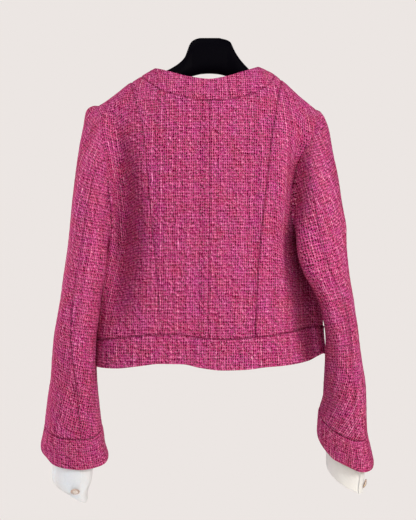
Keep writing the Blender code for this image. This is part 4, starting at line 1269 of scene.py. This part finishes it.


# %% [markdown]
# ## Boucle tweed: its yarns
# Boucle tweed is woven from bulky looped and twisted yarns in many close pinks with a few
# pale and lilac ends.  Its look comes from three things: a plain weave of a round warp and a
# thicker weft, yarns that each keep a tone of their own, and loops that catch light or leave
# dark gaps between them.  Both are painted into the colour too: the higher loops lighter, as
# painted highlight, and the gaps darker, as painted shade.  The material builds the weave
# from the cloth's own coordinates, so the yarns follow each piece's cut.  First comes the
# relief of the weave, and the gaps.

# %% Tweed yarns
WARP_SPACING = 3.7              # mm between warp yarns
WEFT_SPACING = 4.7              # mm between weft yarns
YARN_DRIFT = ((0.05, 3.0), (0.45, 1.7))         # noise cells per mm, reach in mm
GAP_SHAPE = (1.38 * WARP_SPACING, 0.95 * WEFT_SPACING, 0.0)
GAP_SIZES = (1.3, 2.7)          # mm
GAP_SOFTNESS = 0.45             # share of a gap that is fully dark


def flat_cloth(m):
    """Place on the flat cloth, mm."""
    cloth = node(m, "UVMap", uv_map="cloth")
    return node(m, "VectorMath", (cloth, (1.0 / MM, 1.0 / MM, 0.0)), operation="MULTIPLY")


def drifted(m, flat):
    """The cloth's place once yarns wander slowly and each loop pushes its neighbours."""
    place = flat
    for scale, reach in YARN_DRIFT:
        drift = node(m, "TexNoise", {"Vector": flat, "Scale": scale, "Detail": 1.0},
                     noise_dimensions="2D")
        push = node(m, "VectorMath", (drift.outputs["Color"], (0.5, 0.5, 0.5)),
                    operation="SUBTRACT")
        push = node(m, "VectorMath", {0: push, "Scale": reach}, operation="SCALE")
        place = node(m, "VectorMath", (place, push), operation="ADD")
    return place


def plain_weave(m, yarn):
    """Numbers of the two yarns at each crossing, whether the weft is up, and the relief."""
    count = node(m, "VectorMath", (yarn,), operation="FLOOR")
    within = node(m, "VectorMath", (yarn,), operation="FRACTION")
    angle = node(m, "VectorMath", {0: within, "Scale": math.pi}, operation="SCALE")
    arch = node(m, "VectorMath", (angle,), operation="SINE")
    bulge = node(m, "SeparateXYZ", (arch,)).outputs
    number = node(m, "SeparateXYZ", (count,)).outputs
    total = node(m, "Math", (number[0], number[1]), operation="ADD")
    weft_up = node(m, "Math", (total, 2.0), operation="FLOORED_MODULO")
    # Full height along the yarn that lies on top, low where both dive.
    heights = []
    for up, along_it in ((0, 1), (1, 0)):
        lengthwise = node(m, "Math", (bulge[along_it], 0.5), operation="POWER")
        heights.append(node(m, "Math", (bulge[up], lengthwise), operation="MULTIPLY"))
    relief = node(m, "Mix", {0: weft_up, 2: heights[0], 3: heights[1]})
    return count, number, weft_up, relief


def weave_gaps(m, yarn):
    """Gaps where the yarns part, each of its own size: sunk in the bump and painted dark as shade.
    """
    corner = node(m, "VectorMath", (yarn, (0.5, 0.5, 0.0)), operation="ADD")
    away = node(m, "VectorMath", (corner,), operation="FRACTION")
    away = node(m, "VectorMath", (away, (0.5, 0.5, 0.0)), operation="SUBTRACT")
    away = node(m, "VectorMath", (away, GAP_SHAPE), operation="MULTIPLY")
    reach = node(m, "VectorMath", (away,), operation="LENGTH").outputs["Value"]
    own = node(m, "VectorMath", (corner,), operation="FLOOR")
    own = node(m, "TexWhiteNoise", {"Vector": own}, noise_dimensions="2D")
    size = node(m, "MapRange", (own, 0.0, 1.0, *GAP_SIZES))
    gap = node(m, "Math", (reach, size), operation="DIVIDE")
    return node(m, "MapRange", (gap, GAP_SOFTNESS, 1.0, 1.0, 0.0))


print("weave, mm:", WARP_SPACING, "x", WEFT_SPACING)


# %% [markdown]
# ## Boucle tweed: its tones
# Every yarn was dyed in the hank, so it keeps one tone along its length, and the loops in
# it vary that tone from speck to speck; the same noise raises them in the bump, so the higher
# loops are also painted lighter, as painted highlight.  The yarns are drawn at their real
# spacing.  The single loops are finer than can show, so they are drawn as specks about
# 1.2 mm across.

# %% Tweed tones
MIDDLE_TONE = 0.5
YARN_TONES = ((0, 0.0, 0.25), (1, 91.0, 0.08))  # which way the yarn runs, seed, spread
CROSSING_SPREAD = 0.22
LOOPS_PER_MM = (0.83, 0.80, 1.0)
LOOP_SPREAD, LOOP_MIDDLE = 0.9, 0.53
# Pale yarns: axis, spacing and width in mm, noise cells per mm, where on the noise they
# begin and are full, how much they lighten
PALE_YARNS = (
    (0, 15.0, 0.75, (0.5, 0.06, 1.0), 0.35, 0.58, 0.32),
    (1, 9.4, 1.1, (0.07, 0.4, 1.0), 0.58, 0.70, 0.28),
)
PALE_CORE = 0.35                # share of a pale yarn's width that is fully pale


def yarn_tone(m, count, number, weft_up, loops):
    """Each yarn's own tone, which shows as faint stripes, and that of its loops."""
    tones = []
    for axis, seed, spread in YARN_TONES:
        own = node(m, "Math", (number[axis], seed), operation="ADD")
        own = node(m, "TexWhiteNoise", {"W": own}, noise_dimensions="1D")
        tones.append(node(m, "Math", (own, spread, MIDDLE_TONE - spread / 2.0),
                          operation="MULTIPLY_ADD"))
    tone = node(m, "Mix", {0: weft_up, 2: tones[0], 3: tones[1]})
    crossing = node(m, "TexWhiteNoise", {"Vector": count}, noise_dimensions="2D")
    tone = node(m, "Math", (crossing, CROSSING_SPREAD, tone), operation="MULTIPLY_ADD")
    # The loops that the bump raises are painted lighter too, as painted highlight.
    tone = node(m, "Math", (loops, LOOP_SPREAD, tone), operation="MULTIPLY_ADD")
    return node(m, "Math", (tone, LOOP_MIDDLE), operation="SUBTRACT")


def pale_yarns(m, flat, place, tone):
    """Fine pale yarns down the cloth, and pale slubs here and there across it."""
    over = node(m, "SeparateXYZ", (place,)).outputs
    for axis, spacing, width, scales, begin, full, lift in PALE_YARNS:
        turn = node(m, "Math", (over[axis], spacing), operation="DIVIDE")
        turn = node(m, "Math", (turn, 0.5), operation="PINGPONG")
        off = node(m, "Math", (turn, spacing), operation="MULTIPLY")
        line = node(m, "MapRange", (off, PALE_CORE * width, width, 1.0, 0.0))
        patch = node(m, "VectorMath", (flat, scales), operation="MULTIPLY")
        patch = node(m, "TexNoise", {"Vector": patch, "Scale": 1.0, "Detail": 1.0},
                     noise_dimensions="2D")
        shown = node(m, "MapRange", (patch, begin, full, 0.0, lift))
        line = node(m, "Math", (line, shown), operation="MULTIPLY")
        tone = node(m, "Math", (tone, line), operation="ADD")
    return tone


print("pale yarns every", [row[1] for row in PALE_YARNS], "mm")


# %% [markdown]
# ## Boucle tweed: the finish
# The tone picks a pink from the dyer's range.  Whole patches then drift towards crimson or
# magenta, lilac-grey flecks show in the loops with pale specks painted on as highlights, and
# the colour is darkened beside each seam, as painted shade in its hollow.  Wool scatters
# light, so it is rough, with almost no shine and only a trace of sheen, and its loops and
# gaps are too fine for the mesh, so they are bump; the gaps are also painted dark, as shade.

# %% Tweed material
TWEED_TONES = ((0.0, "#48001A"), (0.2, "#740638"), (0.4, "#B0286A"), (0.6, "#D24A8C"),
               (0.8, "#EF80B2"), (1.0, "#FFC0DC"))
# The gaps' tone is lowered as painted shade and they are sunk in the bump; loops rise in it.
GAP_SHADE, GAP_DEPTH, LOOP_HEIGHT = -0.55, -0.8, 0.7
PATCH_NOISE = {"Scale": 0.03, "Detail": 3.0, "Roughness": 0.7}      # patches of 30 mm and less
HUE_DRIFT = (0.487, 0.513)      # towards crimson, towards magenta
# Lilac-grey flecks in the loops, then pale specks painted on as highlights on the loops:
# noise cells per mm, detail, distortion, where on the noise they begin and are full,
# strength, colour
FLECKS_AND_GLINTS = (
    (0.55, 1.0, 0.6, 0.65, 0.73, 0.4, "#B27A9C"),
    (1.1, 0.0, 0.8, 0.72, 0.78, 0.8, "#EDBAD2"),
)
# Painted shade beside the seams: how much, and the dark colour it mixes in.
SEAM_SHADE, SEAM_SHADE_COLOUR = 0.3, "#5A1233"
YARN_HEIGHT = 0.0008            # m
TWEED_ROUGHNESS = (0.95, 0.8)   # in the gaps, on the palest loops


def tweed_colour(m, flat, tone):
    """Colour of the dyed yarns with lilac-grey flecks and pale specks of painted highlight."""
    patch = node(m, "TexNoise", {"Vector": flat, **PATCH_NOISE}, noise_dimensions="2D")
    hue = node(m, "MapRange", (patch, 0.3, 0.7, *HUE_DRIFT))
    pinks = node(m, "ValToRGB", (tone,), TWEED_TONES)
    colour = node(m, "HueSaturation", {"Hue": hue, "Color": pinks}).outputs[0]
    # Lilac-grey flecks of yarn, then pale specks painted on as highlights on the loops.
    for scale, detail, distortion, begin, full, strength, code in FLECKS_AND_GLINTS:
        speck = node(m, "TexNoise", {"Vector": flat, "Scale": scale, "Detail": detail,
                                     "Distortion": distortion}, noise_dimensions="2D")
        amount = node(m, "MapRange", (speck, begin, full, 0.0, strength))
        colour = node(m, "Mix", {0: amount, 6: colour, 7: linear(code)},
                      data_type="RGBA").outputs[2]
    return colour


def tweed_material():
    """Looped wool and cotton: bulky, dull and uneven."""
    m, shader = new_material("boucle_tweed")
    flat = flat_cloth(m)
    place = drifted(m, flat)
    yarn = node(m, "VectorMath", (place, (WARP_SPACING, WEFT_SPACING, 1.0)), operation="DIVIDE")
    count, number, weft_up, relief = plain_weave(m, yarn)
    loops = node(m, "VectorMath", (flat, LOOPS_PER_MM), operation="MULTIPLY")
    loops = node(m, "TexNoise", {"Vector": loops, "Scale": 1.0, "Detail": 1.0, "Roughness": 0.6},
                 noise_dimensions="2D")
    gap = weave_gaps(m, yarn)
    tone = pale_yarns(m, flat, place, yarn_tone(m, count, number, weft_up, loops))
    # The gaps between the loops are painted darker, as painted shade.
    tone = node(m, "Math", (gap, GAP_SHADE, tone), operation="MULTIPLY_ADD", use_clamp=True)
    # Painted shade: the colour is darkened beside each seam, as shade in the seam's hollow.
    pressed_seam_shade = node(m, "Attribute", attribute_name="pressed_seam_shade").outputs["Fac"]
    shade = node(m, "Math", (pressed_seam_shade, SEAM_SHADE), operation="MULTIPLY")
    final = node(m, "Mix", {0: shade, 6: tweed_colour(m, flat, tone), 7: linear(SEAM_SHADE_COLOUR)},
                 data_type="RGBA").outputs[2]
    lump = node(m, "Math", (loops, LOOP_HEIGHT, relief), operation="MULTIPLY_ADD")
    lump = node(m, "Math", (gap, GAP_DEPTH, lump), operation="MULTIPLY_ADD")
    bump = node(m, "Bump", {"Strength": 0.4, "Distance": YARN_HEIGHT, "Height": lump})
    rough = node(m, "MapRange", (tone, 0.0, 1.0, *TWEED_ROUGHNESS))
    connect(m, shader, {"Base Color": final, "Normal": bump, "Roughness": rough,
                        "Specular IOR Level": 0.02, "Sheen Weight": 0.02,
                        "Sheen Roughness": 0.35, "Sheen Tint": linear("#E98CB8")})
    return m


tweed = tweed_material()
print("tweed nodes:", len(tweed.node_tree.nodes))


# %% [markdown]
# ## Cotton poplin
# Poplin is a fine plain weave, here fused to a stiffener, so it is smooth, white and only
# softly creased by pressing.  Its threads are far below what can show, so they are drawn
# about a millimetre apart and very faintly.

# %% Poplin
THREAD_BANDS = 0.32             # scale of the wave, which puts its bands a millimetre apart
CREASE_HEIGHT = 8.0             # height of a pressing crease against that of a thread
POPLIN_WHITES = ((0.0, "#DFE4E8"), (0.5, "#E6EAED"), (1.0, "#EDF0F2"))


def poplin_material():
    """Fused cotton poplin: matt white with the faintest weave."""
    m, shader = new_material("fused_cotton_poplin")
    flat = flat_cloth(m)
    thread = node(m, "TexWave", {"Vector": flat, "Scale": THREAD_BANDS, "Distortion": 0.4})
    weave = node(m, "TexNoise", {"Vector": flat, "Scale": 0.9, "Detail": 2.0},
                 noise_dimensions="2D")
    crease = node(m, "TexNoise", {"Vector": flat, "Scale": 0.035, "Detail": 2.0},
                  noise_dimensions="2D")
    blend = node(m, "Mix", {0: 0.5, 2: thread.outputs["Fac"], 3: weave})
    height = node(m, "Math", (crease, CREASE_HEIGHT, blend), operation="MULTIPLY_ADD")
    bump = node(m, "Bump", {"Strength": 0.35, "Distance": 0.0004, "Height": height})
    connect(m, shader, {"Base Color": node(m, "ValToRGB", (blend,), POPLIN_WHITES),
                        "Normal": bump, "Roughness": 0.75, "Specular IOR Level": 0.3})
    return m


poplin = poplin_material()
print("poplin nodes:", len(poplin.node_tree.nodes))


# %% [markdown]
# ## Gilt, cut stone and moulded plastic
# Gilt brass is a metal with fine polishing marks, which blur what it mirrors a little more
# in some places than in others.  The stone is nearly clear glass over the metal behind it.
# The hanger is black plastic from a mould with a spark-eroded grain, so it is satin.  All
# three share one recipe, a grain that varies the colour.  The real grains are far finer
# than can show, so they are drawn as coarse as 0.7 mm on the plastic, 1.1 mm on the gilt
# and 2.9 mm in the stone.

# %% Other materials
GILT_MARKS, STONE_CLOUDS, PLASTIC_GRAINS = 900.0, 350.0, 1400.0     # noise cells per m


def grained(name, grains, stops):
    """A new material coloured by a grain; gives the material, its shader and the grain."""
    m, shader = new_material(name)
    place = node(m, "TexCoord").outputs["Object"]
    grain = node(m, "TexNoise", {"Vector": place, "Scale": grains, "Detail": 2.0})
    connect(m, shader, {"Base Color": node(m, "ValToRGB", (grain,), stops)})
    return m, shader, grain


def gilt_material():
    """Gilt brass, turned and polished: pale gold with soft bright edges."""
    m, shader, marks = grained("gilt_brass", GILT_MARKS, ((0.3, "#B39C8C"), (0.7, "#DDCBBE")))
    connect(m, shader, {"Roughness": node(m, "MapRange", (marks, 0.0, 1.0, 0.2, 0.42)),
                        "Metallic": 1.0})
    return m


def stone_material():
    """Cut glass: each facet mirrors the room on its own."""
    m, shader, _ = grained("cut_glass_stone", STONE_CLOUDS, ((0.3, "#F1E8E0"), (0.7, "#FFFAF4")))
    connect(m, shader, {"Roughness": 0.06, "IOR": 1.55, "Transmission Weight": 0.15})
    return m


def plastic_material():
    """Black plastic from a grained mould: it swallows light and hardly shines."""
    m, shader, grain = grained("moulded_black_plastic", PLASTIC_GRAINS,
                               ((0.35, "#030207"), (0.7, "#08070D")))
    bump = node(m, "Bump", {"Strength": 0.1, "Distance": 0.0002, "Height": grain})
    connect(m, shader, {"Roughness": node(m, "MapRange", (grain, 0.0, 1.0, 0.4, 0.55)),
                        "Normal": bump, "Specular IOR Level": 0.02})
    return m


# How a piece's name begins, its material, its slot; every other piece is of tweed
FINISHES = (
    ("shirt_cuff", poplin, "cotton_poplin"),
    ("cuff_button", gilt_material(), "gilt_brass"),
    ("cuff_stone", stone_material(), "gilt_brass"),
    ("hanger", plastic_material(), "moulded_plastic"),
    ("", tweed, "boucle_tweed"),
)


def finish_of(name):
    """Material and slot of a piece."""
    return next(row[1:] for row in FINISHES if name.startswith(row[0]))


print("materials:", [row[1].name for row in FINISHES])


# %% [markdown]
# ## What rides on what
# The jacket and its hanger are one body.  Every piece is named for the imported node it
# stands for, takes that node's finish, and each cut of cloth says the size it was cut to.

# %% Frame table
CUT_STEPS = 200                 # cuts are rounded up to a 200th of a metre
LEAST_FULL = 0.3                # a cut fills at least this share of its rectangle

for name, piece in pieces.items():
    material, slot = finish_of(name)
    piece.data.materials.append(material)
    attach(piece, "root")
    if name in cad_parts:
        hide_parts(name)
    if name in cloth_facts:
        width, length, area = cloth_facts[name]
        width, length = [math.ceil(v * CUT_STEPS) / CUT_STEPS for v in (width, length)]
        area = min(max(area, LEAST_FULL * width * length), width * length)
        print(f"{name}: cut {width:.3f} x {length:.3f} m, {area:.4f} m2")

# %% Sizes and finish
triangles = {name: sum(len(p.vertices) - 2 for p in piece.data.polygons)
             for name, piece in pieces.items()}
print("triangles:", sum(triangles.values()), "most:", max(triangles.values()))
